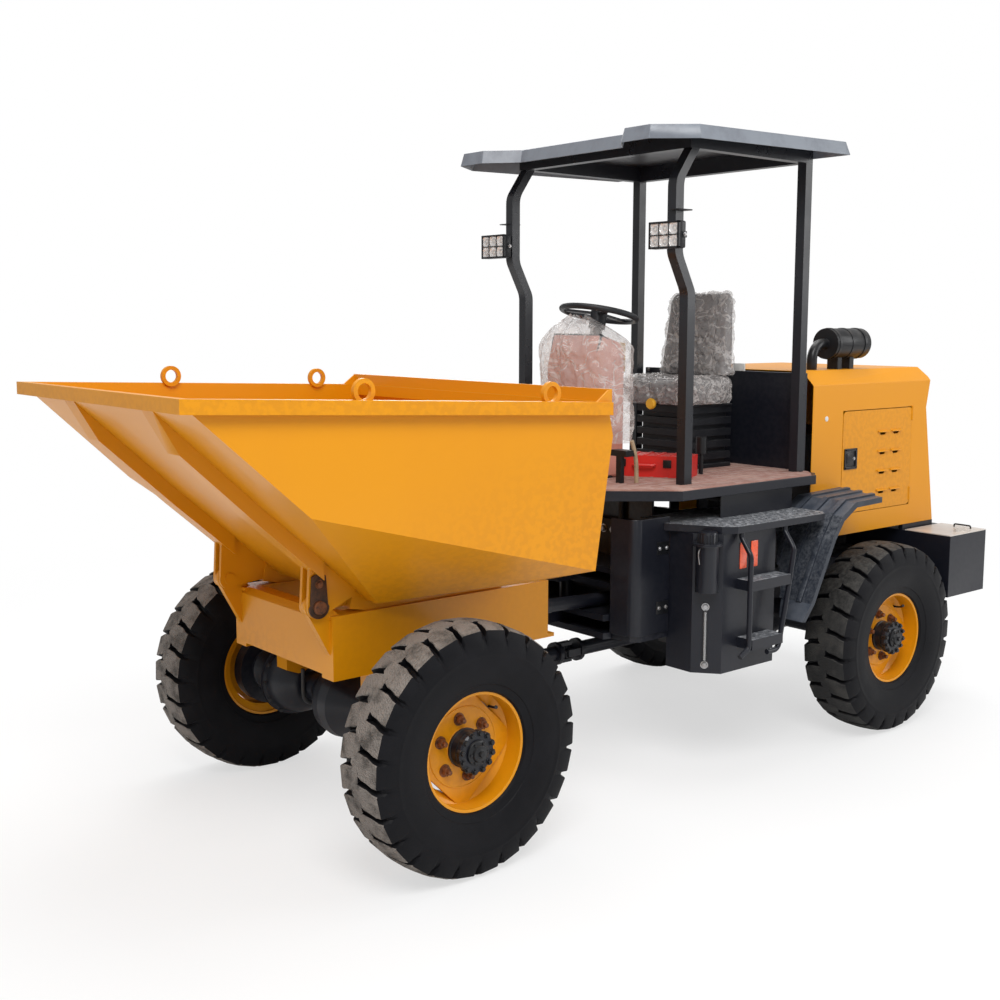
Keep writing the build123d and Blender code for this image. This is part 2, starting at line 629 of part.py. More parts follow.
def cylinder_barrel(plane, length, radius, rod_radius, eye_radius, eye_width, pin_radius):
    """Barrel along the plane's x axis, with its eye across the plane at the origin."""
    wall = radius * 0.16
    axis = Axis(plane.origin, plane.x_dir)
    neck = eye_radius * 0.8
    start = eye_radius * 1.5
    with BuildPart() as barrel:
        with BuildSketch(plane) as section:
            with BuildLine():
                Polyline(
                    (neck, 0),
                    (neck, eye_width * 0.45),
                    (start, eye_width * 0.45),
                    (start, radius),
                    (length - 26, radius),
                    (length - 26, radius * 1.1),
                    (length, radius * 1.1),
                    (length, rod_radius + SEAT_GAP),
                    (length - 30, rod_radius + SEAT_GAP),
                    (length - 30, radius - wall),
                    (start + 14, radius - wall),
                    (start + 14, 0),
                    close=True,
                )
            make_face()
        revolve(section.sketch, axis=axis)
        with BuildSketch(plane.offset(-eye_width / 2)) as eye:
            Circle(eye_radius)
        extrude(eye.sketch, amount=eye_width)
        with BuildSketch(plane.offset(-eye_width / 2)) as bore:
            Circle(pin_radius)
        extrude(bore.sketch, amount=eye_width, mode=Mode.SUBTRACT)
    return barrel


def cylinder_rod(plane, length, start, radius, rod_radius, eye_radius, eye_width):
    """Rod along the plane's x axis, with its piston at start and its eye across the far end."""
    axis = Axis(plane.origin, plane.x_dir)
    with BuildPart() as rod:
        with BuildSketch(plane) as section:
            with BuildLine():
                Polyline(
                    (start, 0),
                    (start, radius * 0.84 - SEAT_GAP),
                    (start + 40, radius * 0.84 - SEAT_GAP),
                    (start + 40, rod_radius),
                    (length, rod_radius),
                    (length, 0),
                    close=True,
                )
            make_face()
        revolve(section.sketch, axis=axis)
        with BuildSketch(plane.offset(-eye_width / 2)) as eye:
            with Locations((length, 0)):
                Circle(eye_radius)
        extrude(eye.sketch, amount=eye_width)
    return rod


ram_plane = Plane(
    origin=(RAM_BASE[0], 0, RAM_BASE[1]),
    x_dir=(cos(radians(RAM_ANGLE)), 0, sin(radians(RAM_ANGLE))),
    z_dir=(0, -1, 0),
)
ram_barrel = cylinder_barrel(ram_plane, RAM_LENGTH - 50, RAM_BARREL_R, RAM_ROD_R, RAM_EYE_R,
                             RAM_EYE_W, PIN_R - 4 + SEAT_GAP)
save(ram_barrel, "tip_cylinder_barrel")
ram_rod = cylinder_rod(ram_plane, RAM_LENGTH, 76, RAM_BARREL_R, RAM_ROD_R, RAM_EYE_R - 4, RAM_EYE_W)
save(ram_rod, "tip_cylinder_rod")

# ================================================================ steering cylinder
STEER_ANGLE = degrees(atan2(STEER_EYE[1] - STEER_BASE[1], STEER_EYE[0] - STEER_BASE[0]))
STEER_LENGTH = hypot(STEER_EYE[0] - STEER_BASE[0], STEER_EYE[1] - STEER_BASE[1])
STEER_PIN_R = 12
STEER_STROKE_IN = 133  # how far the rod goes in from straight ahead
steer_plane = Plane(
    origin=(STEER_BASE[0], STEER_BASE[1], STEER_Z),
    x_dir=(cos(radians(STEER_ANGLE)), sin(radians(STEER_ANGLE)), 0),
    z_dir=(0, 0, 1),
)
steer_barrel = cylinder_barrel(steer_plane, STEER_LENGTH - STEER_STROKE_IN - 45, STEER_BARREL_R,
                               STEER_ROD_R, STEER_EYE_R, STEER_EYE_W, STEER_PIN_R + SEAT_GAP)
save(steer_barrel, "steering_cylinder_barrel")
steer_rod = cylinder_rod(steer_plane, STEER_LENGTH, STEER_STROKE_IN + 40, STEER_BARREL_R, STEER_ROD_R,
                         STEER_EYE_R, STEER_EYE_W)
save(steer_rod, "steering_cylinder_rod")

# ================================================================ rear frame
BULKHEAD_X = HINGE_X - 205
COVER_FACE_X = HINGE_X + 104
FORK_BACK_X = HINGE_X - 110  # the forks are wide ahead of this
RAIL_END_X = TAIL_X[0] + 30
DECK_UNDER = DECK_Z - DECK_T
with BuildPart() as rear_frame:
    fork_plan = mirrored(
        [
            (BULKHEAD_X, FRAME_HALF),
            (FORK_BACK_X, FRAME_HALF),
            (FORK_BACK_X, COVER_HALF - COVER_T - SEAT_GAP),
            (HINGE_X + 50, COVER_HALF - COVER_T - SEAT_GAP),
            (HINGE_X + 78, 466),
            (HINGE_X + 90, 372),
            (NOSE_X, 365),
            (NOSE_X, 130),
        ]
    )
    for z in LOWER_FORK + UPPER_FORK:
        flat_plate(fork_plan, z)
        if z in UPPER_FORK:
            block((HINGE_X + 60, NOSE_X + 1), (-COVER_HALF, -90), (z[0] - 1, z[1] + 1), mode=Mode.SUBTRACT)
            block((HINGE_X + 60, NOSE_X + 1), (90, COVER_HALF), (z[0] - 1, z[1] + 1), mode=Mode.SUBTRACT)
    block((BULKHEAD_X - FRAME_PLATE, BULKHEAD_X), (-FRAME_HALF, FRAME_HALF),
          (LOWER_FORK[0][0], DECK_UNDER - SEAT_GAP))
    for s in (1, -1):
        for fork in (LOWER_FORK, UPPER_FORK):
            block((BULKHEAD_X - 1, FORK_BACK_X), sorted((s * FRAME_HALF, s * (FRAME_HALF - FRAME_PLATE))),
                  (fork[0][1] - 1, fork[1][0] + 1))
    rod_z(HINGE_X, 0, HINGE_PIN_R, (LOWER_FORK[0][0] - 12, UPPER_FORK[1][1] + 12))
    rod_z(STEER_BASE[0], STEER_BASE[1], STEER_PIN_R, (LOWER_FORK[1][1] - 1, UPPER_FORK[0][0] + 1))
    for s in (1, -1):
        web = sorted((s * FRAME_HALF, s * (FRAME_HALF - FRAME_PLATE)))
        flange = sorted((s * FRAME_HALF, s * (FRAME_HALF - 60)))
        block((RAIL_END_X, BULKHEAD_X), web, FRAME_Z)
        block((RAIL_END_X, BULKHEAD_X), flange, (FRAME_Z[0], FRAME_Z[0] + FRAME_PLATE))
        block((RAIL_END_X, BULKHEAD_X), flange, (FRAME_Z[1] - FRAME_PLATE, FRAME_Z[1]))
        saddle = sorted((s * AXLE_PAD_Y[0], s * (FRAME_HALF - 1)))
        side_plate(
            [
                (REAR_X - 110, FRAME_Z[0] + 2),
                (REAR_X + 110, FRAME_Z[0] + 2),
                (REAR_X + 110, AXLE_TOP + 20),
                (REAR_X + 70, AXLE_TOP),
                (REAR_X - 70, AXLE_TOP),
                (REAR_X - 110, AXLE_TOP + 20),
            ],
            saddle,
        )
        # brackets out to the tanks
        for x in (TANK_X[0] + 50, TANK_X[1] - 130):
            bracket = sorted((s * (FRAME_HALF - 1), s * (TANK_Y[0] - SEAT_GAP)))
            block((x, x + 60), bracket, (FRAME_Z[1] - 110, FRAME_Z[1]))
            block((x + 8, x + 52), bracket, (FRAME_Z[1] - 111, FRAME_Z[1] - 10), mode=Mode.SUBTRACT)
        # posts under the rear of the deck
        block((FIREWALL_X - 60, FIREWALL_X), web, (FRAME_Z[1] - 1, DECK_UNDER - SEAT_GAP))
        block((HINGE_X - 560, HINGE_X - 500), web, (FRAME_Z[1] - 1, DECK_UNDER - SEAT_GAP))
    block((RAIL_END_X, RAIL_END_X + FRAME_PLATE), (-FRAME_HALF, FRAME_HALF), FRAME_Z)
save(rear_frame, "rear_frame")

# ================================================================ engine and gearbox
ENGINE_HALF = 230
with BuildPart() as engine:
    block((HOOD_REAR_X + 150, HOOD_FRONT_X - 100), (-ENGINE_HALF, ENGINE_HALF), (900, 1330))
    block((TAIL_X[1] + 12, HOOD_FRONT_X + 10), (-170, 170), (640, 1000))
    block((REAR_X + 150, GEARBOX_X[1] - 60), (-160, 160), (590, 960))
    block(GEARBOX_X, (-130, 130), (SHAFT_Z - 95, 600))
    for s in (1, -1):
        for x in (TAIL_X[1] + 40, REAR_X + 180):
            foot = sorted((s * 150, s * (FRAME_HALF - 4)))
            block((x, x + 70), foot, (FRAME_Z[1] + SEAT_GAP, FRAME_Z[1] + 24))
save(engine, "engine")

# ================================================================ driver's deck
DECK_REAR_X = FIREWALL_X - FIREWALL_T
STEP_PLATE_Z = (1030, 1060)
SKIRT_X = (REAR_X + 500, HINGE_X - 350)
SKIRT_Y = DECK_HALF - 40
DECK_CUT = 70  # rear corners cut off


def deck_outline(inset, rear_x):
    """Plan of the deck, set in from its edge and ending at rear_x."""
    return mirrored(
        [
            (rear_x, DECK_HALF - DECK_CUT - inset),
            (rear_x + DECK_CUT, DECK_HALF - inset),
            (DECK_CORNER_X - inset / 2, DECK_HALF - inset),
            (DECK_FRONT_X - inset * 1.3, DECK_NOSE_HALF - inset),
        ]
    )


with BuildPart() as platform:
    flat_plate(deck_outline(0, DECK_REAR_X), (DECK_UNDER, DECK_Z))
    flat_plate(deck_outline(6, DECK_REAR_X + 6), (DECK_UNDER - 1, DECK_Z - 6), mode=Mode.SUBTRACT)
    # ribs stand on the bulkhead and on the posts of the frame
    for x in (BULKHEAD_X - FRAME_PLATE, HINGE_X - 560, FIREWALL_X - 60):
        block((x, x + 60), (10 - DECK_HALF + DECK_CUT, DECK_HALF - DECK_CUT - 10), (DECK_UNDER, DECK_Z - 4))
    # webs down to the step plates
    for s in (1, -1):
        block(SKIRT_X, sorted((s * SKIRT_Y, s * (SKIRT_Y - 5))), (STEP_PLATE_Z[1] + SEAT_GAP, DECK_Z - 4))
save(platform, "platform")

with BuildPart() as floor_mat:
    flat_plate(deck_outline(3, FIREWALL_X + 2), (DECK_Z + SEAT_GAP, DECK_Z + MAT_T))
    for s in (1, -1):
        centre = (s * (POST_Y - POST / 2 - 2), s * (POST_Y + POST / 2 + 2))
        for x in (POST_FRONT_X, POST_REAR_X):
            block((x - POST / 2 - 2, x + POST / 2 + 2), sorted(centre), (DECK_Z, DECK_Z + MAT_T + 1),
                  mode=Mode.SUBTRACT)
save(floor_mat, "floor_mat")

with BuildPart() as firewall:
    block((FIREWALL_X - FIREWALL_T, FIREWALL_X), (-HOOD_HALF, HOOD_HALF), (DECK_Z + SEAT_GAP, HOOD_Z[1] - 7))
save(firewall, "firewall")

# ================================================================ side covers, tanks, steps
COVER_Z = (604, 1084)
COVER_BEND = 36
TANK_Z = (455, 1029)
TANK_CHAMFER = (76, 95)
NECK_R = 46
CAP_R = 38
STEP_PLATE_HALF = 755
STEP_OUT = 800
STEP_R = 11

COVER_BACK_X = TANK_X[1] + 3
with BuildPart() as side_covers:
    for s in (1, -1):
        outside = [
            (COVER_BACK_X, COVER_HALF),
            (HINGE_X + 66, COVER_HALF),
            (HINGE_X + 90, 474),
            (COVER_FACE_X, 376),
        ]
        inside = [
            (COVER_BACK_X, COVER_HALF - COVER_T),
            (HINGE_X + 64, COVER_HALF - COVER_T),
            (HINGE_X + 87, 472),
            (COVER_FACE_X - 5, 376),
        ]
        with BuildSketch(Plane.XY.offset(COVER_Z[0])) as bent_sheet:
            with BuildLine():
                outer = FilletPolyline(*[(x, s * y) for x, y in outside], radius=COVER_BEND)
                inner = FilletPolyline(*[(x, s * y) for x, y in inside], radius=COVER_BEND - COVER_T)
                Line(outer @ 0, inner @ 0)
                Line(outer @ 1, inner @ 1)
            make_face()
        extrude(bent_sheet.sketch, amount=COVER_Z[1] - COVER_Z[0])
save(side_covers, "side_covers")

for tank_name, s in (("fuel_tank", 1), ("hydraulic_tank", -1)):
    with BuildPart() as tank:
        plan = [
            (TANK_X[0], TANK_Y[0]),
            (TANK_X[0], TANK_Y[1]),
            (TANK_X[1] - TANK_CHAMFER[0], TANK_Y[1]),
            (TANK_X[1], TANK_Y[1] - TANK_CHAMFER[1]),
            (TANK_X[1], TANK_Y[0]),
        ]
        flat_plate([(x, s * y) for x, y in plan], TANK_Z)
        # filler neck on the chamfered corner
        neck = (TANK_X[1] - 10, s * (TANK_Y[1] - 28))
        rod_z(neck[0], neck[1], NECK_R, (800, 988))
        rod_z(neck[0], neck[1], NECK_R + 13, (988, 998))
        rod_z(neck[0], neck[1], CAP_R, (998, 1042))
    save(tank, tank_name)

with BuildPart() as step_plates:
    for s in (1, -1):
        plan = [
            (REAR_X + 480, 330),
            (REAR_X + 480, STEP_PLATE_HALF - 40),
            (REAR_X + 520, STEP_PLATE_HALF),
            (TANK_X[1] - 120, STEP_PLATE_HALF),
            (TANK_X[1] - 70, STEP_PLATE_HALF - 40),
            (TANK_X[1] + 42, COVER_HALF + SEAT_GAP),
            (COVER_BACK_X - SEAT_GAP, COVER_HALF + SEAT_GAP),
            (COVER_BACK_X - SEAT_GAP, 330),
        ]
        flat_plate([(x, s * y) for x, y in plan], STEP_PLATE_Z)
save(step_plates, "step_plates")

TREADS = (  # rear x and front x, top z
    ((REAR_X + 800, REAR_X + 1049), 838),
    ((REAR_X + 841, REAR_X + 1038), 595),
)
with BuildPart() as access_steps:
    for s in (1, -1):
        for (rear, front), top in TREADS:
            tread = sorted((s * (TANK_Y[1] + SEAT_GAP), s * STEP_OUT))
            block((rear, front), tread, (top - 42, top))
            hollow = sorted((s * (TANK_Y[1] - 1), s * (STEP_OUT - 5)))
            block((rear + 5, front - 5), hollow, (top - 43, top - 5), mode=Mode.SUBTRACT)
        rail_y = s * (STEP_OUT - STEP_R)
        top_z = STEP_PLATE_Z[0] - SEAT_GAP
        top_y = s * (STEP_PLATE_HALF - 16)
        rails = (  # x and z up each rail on its outer line, and the radii of its bends
            ([(REAR_X + 1100, 532), (REAR_X + 1046, 560), (REAR_X + 1046, top_z - 90)],
             [24, 40, 16]),
            ([(REAR_X + 930, 528), (REAR_X + 858, 528), (REAR_X + 796, 800),
              (REAR_X + 770, top_z - 90)],
             [34, 60, 40, 16]),
        )
        for points, bends in rails:
            path = [Vector(x, rail_y, z) for x, z in points]
            path.append(Vector(points[-1][0], top_y, top_z - 20))
            path.append(Vector(points[-1][0], top_y, top_z))
            with BuildLine() as run:
                FilletPolyline(*path, radius=bends)
            with BuildSketch(Plane(origin=run.line @ 0, z_dir=run.line % 0)) as round_bar:
                Circle(STEP_R)
            sweep(round_bar.sketch, path=run.line)
save(access_steps, "access_steps")

# ================================================================ rear fenders
FENDER_Y = (HOOD_HALF + SEAT_GAP, 800)
FENDER_T = 5
fender_top = (  # x and z of the outer face, from the foot of the flap to the back
    (REAR_X + 715, 620),
    (REAR_X + 655, 690),
    (REAR_X + 520, 950),
    (REAR_X + 450, 1046),
    (REAR_X + 360, 1098),
    (REAR_X + 45, 1108),
)
fender_under = [(x - (FENDER_T if z < 1040 else 0), z - (FENDER_T if z > 1040 else 0)) for x, z in fender_top]
with BuildPart() as fenders:
    for s in (1, -1):
        side_plate(list(fender_top) + list(reversed(fender_under)), sorted((s * FENDER_Y[0], s * FENDER_Y[1])))
        lip_under = [(x - (24 if z < 1040 else 10), z - (24 if z > 1040 else 4)) for x, z in fender_top]
        side_plate(list(fender_top) + list(reversed(lip_under)), sorted((s * (FENDER_Y[1] - 6), s * FENDER_Y[1])))
        for y in (FENDER_Y[0] + 55, FENDER_Y[0] + 145, FENDER_Y[0] + 235):
            rib = [(x + (9 if z < 1040 else 5), z + (9 if z > 1040 else 3)) for x, z in fender_top[1:]]
            side_plate(list(rib) + list(reversed(fender_under[1:])), sorted((s * y, s * (y + 26))))
    # the flap narrows to its foot and the back edge slants
    for s in (1, -1):
        cross_plate([(s * 400, 600), (s * 690, 600), (s * 480, 980), (s * 400, 980)],
                    (REAR_X + 400, REAR_X + 800), mode=Mode.SUBTRACT)
        flat_plate([(REAR_X + 30, s * 470), (REAR_X + 30, s * 820), (REAR_X + 172, s * 820), (REAR_X + 38, s * 470)],
                   (1000, 1200), mode=Mode.SUBTRACT)
save(fenders, "fenders")

# ================================================================ engine hood
DOOR_X = (REAR_X - 535, REAR_X + 35)
DOOR_Z = (975, 1462)
DOOR_GAP = 3
HINGE_GAP = 0.8  # at the hinged edge
DOOR_T = 4
hood_profile = [  # y, z
    (HOOD_HALF, HOOD_Z[0]),
    (HOOD_HALF, HOOD_Z[1] - HOOD_CHAMFER),
    (HOOD_HALF - HOOD_CHAMFER, HOOD_Z[1]),
]
hood_side = [  # x, z
    (HOOD_FRONT_X, HOOD_Z[1]),
    (HOOD_FRONT_X, HOOD_Z[0] + 220),
    (HOOD_FRONT_X - 195, HOOD_Z[0]),
    (HOOD_REAR_X - 30, HOOD_Z[0]),
    (HOOD_REAR_X + HOOD_LEAN + 32, HOOD_Z[1] - 200),
    (HOOD_REAR_X + HOOD_LEAN, HOOD_Z[1] - 45),
    (HOOD_REAR_X + HOOD_LEAN + 22, HOOD_Z[1]),
]
with BuildPart() as hood:
    cross_plate([(y, z) for y, z in hood_profile] + [(-y, z) for y, z in reversed(hood_profile)],
                (HOOD_REAR_X - 60, HOOD_FRONT_X))
    side_plate(hood_side, (-HOOD_HALF - 1, HOOD_HALF + 1), mode=Mode.INTERSECT)
    inner_profile = [
        (HOOD_HALF - HOOD_T, HOOD_Z[0] - 1),
        (HOOD_HALF - HOOD_T, HOOD_Z[1] - HOOD_CHAMFER - 2),
        (HOOD_HALF - HOOD_CHAMFER - 2, HOOD_Z[1] - HOOD_T),
    ]
    inner_side = [
        (HOOD_FRONT_X + 1, HOOD_Z[1] + 1),
        (HOOD_FRONT_X + 1, HOOD_Z[0] - 1),
        (HOOD_REAR_X - 30 + HOOD_T, HOOD_Z[0] - 1),
        (HOOD_REAR_X + HOOD_LEAN + 32 + HOOD_T, HOOD_Z[1] - 200),
        (HOOD_REAR_X + HOOD_LEAN + HOOD_T, HOOD_Z[1] - 46),
        (HOOD_REAR_X + HOOD_LEAN + 24 + HOOD_T, HOOD_Z[1] + 1),
    ]
    with BuildPart(mode=Mode.PRIVATE) as hollow:
        cross_plate([(y, z) for y, z in inner_profile] + [(-y, z) for y, z in reversed(inner_profile)],
                    (HOOD_REAR_X - 80, HOOD_FRONT_X + 2))
        side_plate(inner_side, (-HOOD_HALF, HOOD_HALF), mode=Mode.INTERSECT)
    add(hollow.part, mode=Mode.SUBTRACT)
    block(DOOR_X, (-HOOD_HALF - 1, HOOD_HALF + 1), DOOR_Z, mode=Mode.SUBTRACT)
save(hood, "hood")

SLOT = (46, 20)
SLOT_X = (REAR_X - 290, REAR_X - 400)
SLOT_Z = (1060, 1155, 1250, 1345)
for door_name, s in (("hood_door_left", 1), ("hood_door_right", -1)):
    with BuildPart() as door:
        block((DOOR_X[0] + HINGE_GAP, DOOR_X[1] - DOOR_GAP), sorted((s * (HOOD_HALF - DOOR_T), s * HOOD_HALF)),
              (DOOR_Z[0] + DOOR_GAP, DOOR_Z[1] - DOOR_GAP))
        fillet(door.edges().filter_by(Axis.Y), 24)
        with BuildSketch(Plane.XZ.offset(-s * HOOD_HALF)) as slots:
            with Locations(*[(x, z) for x in SLOT_X for z in SLOT_Z]):
                SlotOverall(SLOT[0], SLOT[1])
        extrude(slots.sketch, amount=20, both=True, mode=Mode.SUBTRACT)
    save(door, door_name)

# ================================================================ silencer
MUFFLER_Y = 360
MUFFLER_Z = 1772
MUFFLER_R = 72
MUFFLER_X = (REAR_X - 250, REAR_X + 15)
PIPE_R = 24
with BuildPart() as muffler:
    rod_x(MUFFLER_Y, MUFFLER_Z, MUFFLER_R, MUFFLER_X)
    for x in (MUFFLER_X[0] + 95, MUFFLER_X[1] - 75):
        block((x - 16, x + 16), (MUFFLER_Y - 30, MUFFLER_Y + 30), (HOOD_Z[1] + SEAT_GAP, MUFFLER_Z - 40))
    with BuildLine() as run:
        FilletPolyline((MUFFLER_X[1] - 5, MUFFLER_Y, MUFFLER_Z), (MUFFLER_X[1] + 100, MUFFLER_Y, MUFFLER_Z),
                       (MUFFLER_X[1] + 100, MUFFLER_Y, HOOD_Z[1] + SEAT_GAP), radius=75)
    with BuildSketch(Plane(origin=run.line @ 0, z_dir=run.line % 0)) as pipe:
        Circle(PIPE_R)
    sweep(pipe.sketch, path=run.line)
save(muffler, "muffler")

# ================================================================ tail box
LID_INNER_Y = HOOD_HALF + 14
with BuildPart() as tail_box:
    block(TAIL_X, (-TAIL_HALF, TAIL_HALF), TAIL_Z)
    block((TAIL_X[0] + 6, TAIL_X[1] - 6), (-LID_INNER_Y + 6, LID_INNER_Y - 6), (TAIL_Z[0] + 6, TAIL_Z[1] - 6),
          mode=Mode.SUBTRACT)
    for s in (1, -1):
        bay = sorted((s * LID_INNER_Y, s * (TAIL_HALF - 6)))
        block((TAIL_X[0] + 6, TAIL_X[1] - 6), bay, (TAIL_Z[0] + 6, TAIL_Z[1] + 1), mode=Mode.SUBTRACT)
    # the frame runs in through the front of the box, and the hood stands on two strips
    block((RAIL_END_X - SEAT_GAP, TAIL_X[1] + 1), (-FRAME_HALF, FRAME_HALF),
          (FRAME_Z[0] - SEAT_GAP, FRAME_Z[1] + SEAT_GAP), mode=Mode.SUBTRACT)
    for s in (1, -1):
        strip = sorted((s * (HOOD_HALF - 24), s * HOOD_HALF))
        block((TAIL_X[0] + 60, TAIL_X[1]), strip, (TAIL_Z[1] - 1, HOOD_Z[0] - SEAT_GAP))
save(tail_box, "tail_box")

for lid_name, s in (("tail_lid_left", 1), ("tail_lid_right", -1)):
    with BuildPart() as lid:
        block(TAIL_X, sorted((s * (LID_INNER_Y + 1), s * TAIL_HALF)),
              (TAIL_Z[1] + SEAT_GAP, TAIL_Z[1] + SEAT_GAP + LID_T))
        handle_x = TAIL_X[0] + 110
        block((handle_x, handle_x + 90), sorted((s * (TAIL_HALF - 60), s * (TAIL_HALF - 48))),
              (TAIL_Z[1] + LID_T, TAIL_Z[1] + LID_T + 16))
    save(lid, lid_name)

# ================================================================ canopy
POST_T = 4
POST_BEND = 90
JOG = 80


def post_outline(points, half):
    """Outline of an upright member that follows the points, half wide to each side in X."""
    return [(x + half, z) for x, z in points] + [(x - half, z) for x, z in reversed(points)]


front_path = [
    (POST_FRONT_X, DECK_Z + SEAT_GAP),
    (POST_FRONT_X, 1990),
    (POST_FRONT_X + JOG, 2140),
    (POST_FRONT_X + JOG, 2430),
    (POST_FRONT_X - 8, ROOF_Z[0] - SEAT_GAP),
]
rear_path = [(POST_REAR_X, DECK_Z + SEAT_GAP), (POST_REAR_X, ROOF_Z[0] - SEAT_GAP)]
for post_name, path in (("front_posts", front_path), ("rear_posts", rear_path)):
    with BuildPart() as posts:
        for s in (1, -1):
            side_plate(post_outline(path, POST / 2), (s * POST_Y - POST / 2, s * POST_Y + POST / 2))
            side_plate(post_outline(path, POST / 2 - POST_T),
                       (s * POST_Y - POST / 2 + POST_T, s * POST_Y + POST / 2 - POST_T), mode=Mode.SUBTRACT)
        bends = posts.edges().filter_by(Axis.Y).filter_by(
            lambda edge: DECK_Z + POST < edge.center().Z < ROOF_Z[0] - POST
        )
        if bends:
            fillet(bends, POST_BEND)
    save(posts, post_name)

BEAM = 45
ROOF_T = 4
ROOF_LEAN = 14
ROOF_HORN = (310, 430, 580)  # half-widths where the front edge steps forward, and of its corner


def roof_under(x):
    """Height of the inside of the roof skin at x, which rises to the rear."""
    return ROOF_Z[1] - ROOF_T - SEAT_GAP + (ROOF_X[1] - x) * tan(radians(ROOF_RISE))


with BuildPart() as roof_frame:
    outer_x = (POST_REAR_X - POST / 2, POST_FRONT_X + POST / 2)
    outer_y = POST_Y + POST / 2
    side_plate(
        [(x, ROOF_Z[0]) for x in outer_x] + [(x, roof_under(x)) for x in reversed(outer_x)],
        (-outer_y, outer_y),
    )
    block((outer_x[0] + BEAM, outer_x[1] - BEAM), (BEAM - outer_y, outer_y - BEAM),
          (ROOF_Z[0] - 1, ROOF_Z[1] + 2 * BEAM), mode=Mode.SUBTRACT)
save(roof_frame, "roof_frame")

roof_plane = Plane(
    origin=(ROOF_X[1], 0, ROOF_Z[0]),
    x_dir=(cos(radians(ROOF_RISE)), 0, -sin(radians(ROOF_RISE))),
    z_dir=(sin(radians(ROOF_RISE)), 0, cos(radians(ROOF_RISE))),
)
with BuildPart() as roof:
    for inset, top, mode in ((0, ROOF_Z[1], Mode.ADD), (ROOF_T, ROOF_Z[1] - ROOF_T, Mode.SUBTRACT)):
        outlines = []
        for lean, z in ((0, 0), (ROOF_LEAN, top - ROOF_Z[0])):
            edge = inset + lean
            with BuildSketch(roof_plane.offset(z), mode=Mode.PRIVATE) as outline:
                with BuildLine():
                    Polyline(
                        *mirrored(
                            [
                                (ROOF_X[0] - ROOF_X[1] + edge, ROOF_HALF - edge),
                                (-160 - edge * 0.3, ROOF_HALF - edge),
                                (-edge, ROOF_HORN[2] - edge * 0.6),
                                (-edge, ROOF_HORN[1] + edge * 0.4),
                                (-125 - edge, ROOF_HORN[0] + edge * 0.4),
                            ]
                        ),
                        close=True,
                    )
                make_face()
            outlines.append(outline.sketch.face())
        loft(outlines, mode=mode)
save(roof, "roof")

LAMP_W = 160
with BuildPart() as work_lamps:
    for s in (1, -1):
        lamp_x = POST_FRONT_X + JOG + POST / 2 + 14
        lamp_mid = s * (POST_Y + 28)
        lamp_y = (lamp_mid - LAMP_W / 2, lamp_mid + LAMP_W / 2)
        block((lamp_x + 12, lamp_x + 62), lamp_y, (2155, 2260))
        block((lamp_x - 14 + SEAT_GAP, lamp_x + 14), (s * POST_Y - 16, s * POST_Y + 16), (2190, 2225))
save(work_lamps, "work_lamps")

# ================================================================ seat
SEAT_X = REAR_X + 580  # middle of the seat's base
CUSHION_Z = (DECK_Z + 300, DECK_Z + 420)
FOLDS = 5
with BuildPart() as seat_base:
    base_z = DECK_Z + MAT_T + SEAT_GAP
    fold = (CUSHION_Z[0] - SEAT_GAP - 8 - base_z - 18) / FOLDS
    block((SEAT_X - 130, SEAT_X + 150), (-170, 170), (base_z, base_z + 18))
    for k in range(FOLDS):
        low = base_z + 18 + k * fold
        block((SEAT_X - 110, SEAT_X + 130), (-150, 150), (low, low + fold * 0.4))
        block((SEAT_X - 128, SEAT_X + 148), (-168, 168), (low + fold * 0.4, low + fold))
    block((SEAT_X - 120, SEAT_X + 170), (-180, 180), (CUSHION_Z[0] - SEAT_GAP - 8, CUSHION_Z[0] - SEAT_GAP))
save(seat_base, "seat_base")

with BuildPart() as seat_cushion:
    block((SEAT_X - 110, SEAT_X + 255), (-225, 225), CUSHION_Z)
    fillet(seat_cushion.edges().filter_by(Axis.Z), 60)
save(seat_cushion, "seat_cushion")

back_top = CUSHION_Z[1] + 392
with BuildPart() as seat_back:
    side_plate(
        [
            (SEAT_X - 25, CUSHION_Z[1] + SEAT_GAP),
            (SEAT_X - 66, back_top - 38),
            (SEAT_X - 84, back_top),
            (SEAT_X - 112, back_top),
            (SEAT_X - 130, back_top - 38),
            (SEAT_X - 105, CUSHION_Z[1] + SEAT_GAP),
        ],
        (-205, 205),
    )
save(seat_back, "seat_back")

# ================================================================ steering console
CONSOLE_X = (HINGE_X - 150, HINGE_X - 10)
CONSOLE_HALF = 150
COLUMN_TOP = (HINGE_X - 178, DECK_Z + 705)
WHEEL_TILT = 12
wheel_axis = Plane(
    origin=(COLUMN_TOP[0], 0, COLUMN_TOP[1]),
    x_dir=(0, 1, 0),
    z_dir=(-sin(radians(WHEEL_TILT)), 0, cos(radians(WHEEL_TILT))),
)
with BuildPart() as steering_console:
    side_plate(
        [
            (CONSOLE_X[1], DECK_Z + MAT_T + SEAT_GAP),
            (CONSOLE_X[1], DECK_Z + 480),
            (CONSOLE_X[1] - 40, DECK_Z + 620),
            (CONSOLE_X[0] + 20, DECK_Z + 580),
            (CONSOLE_X[0], DECK_Z + 540),
            (CONSOLE_X[0], DECK_Z + MAT_T + SEAT_GAP),
        ],
        (-CONSOLE_HALF, CONSOLE_HALF),
    )
    fillet(steering_console.edges().filter_by(Axis.Z), 40)
    with BuildSketch(wheel_axis.offset(-175)) as tube:
        Circle(26)
    extrude(tube.sketch, amount=110)
save(steering_console, "steering_console")

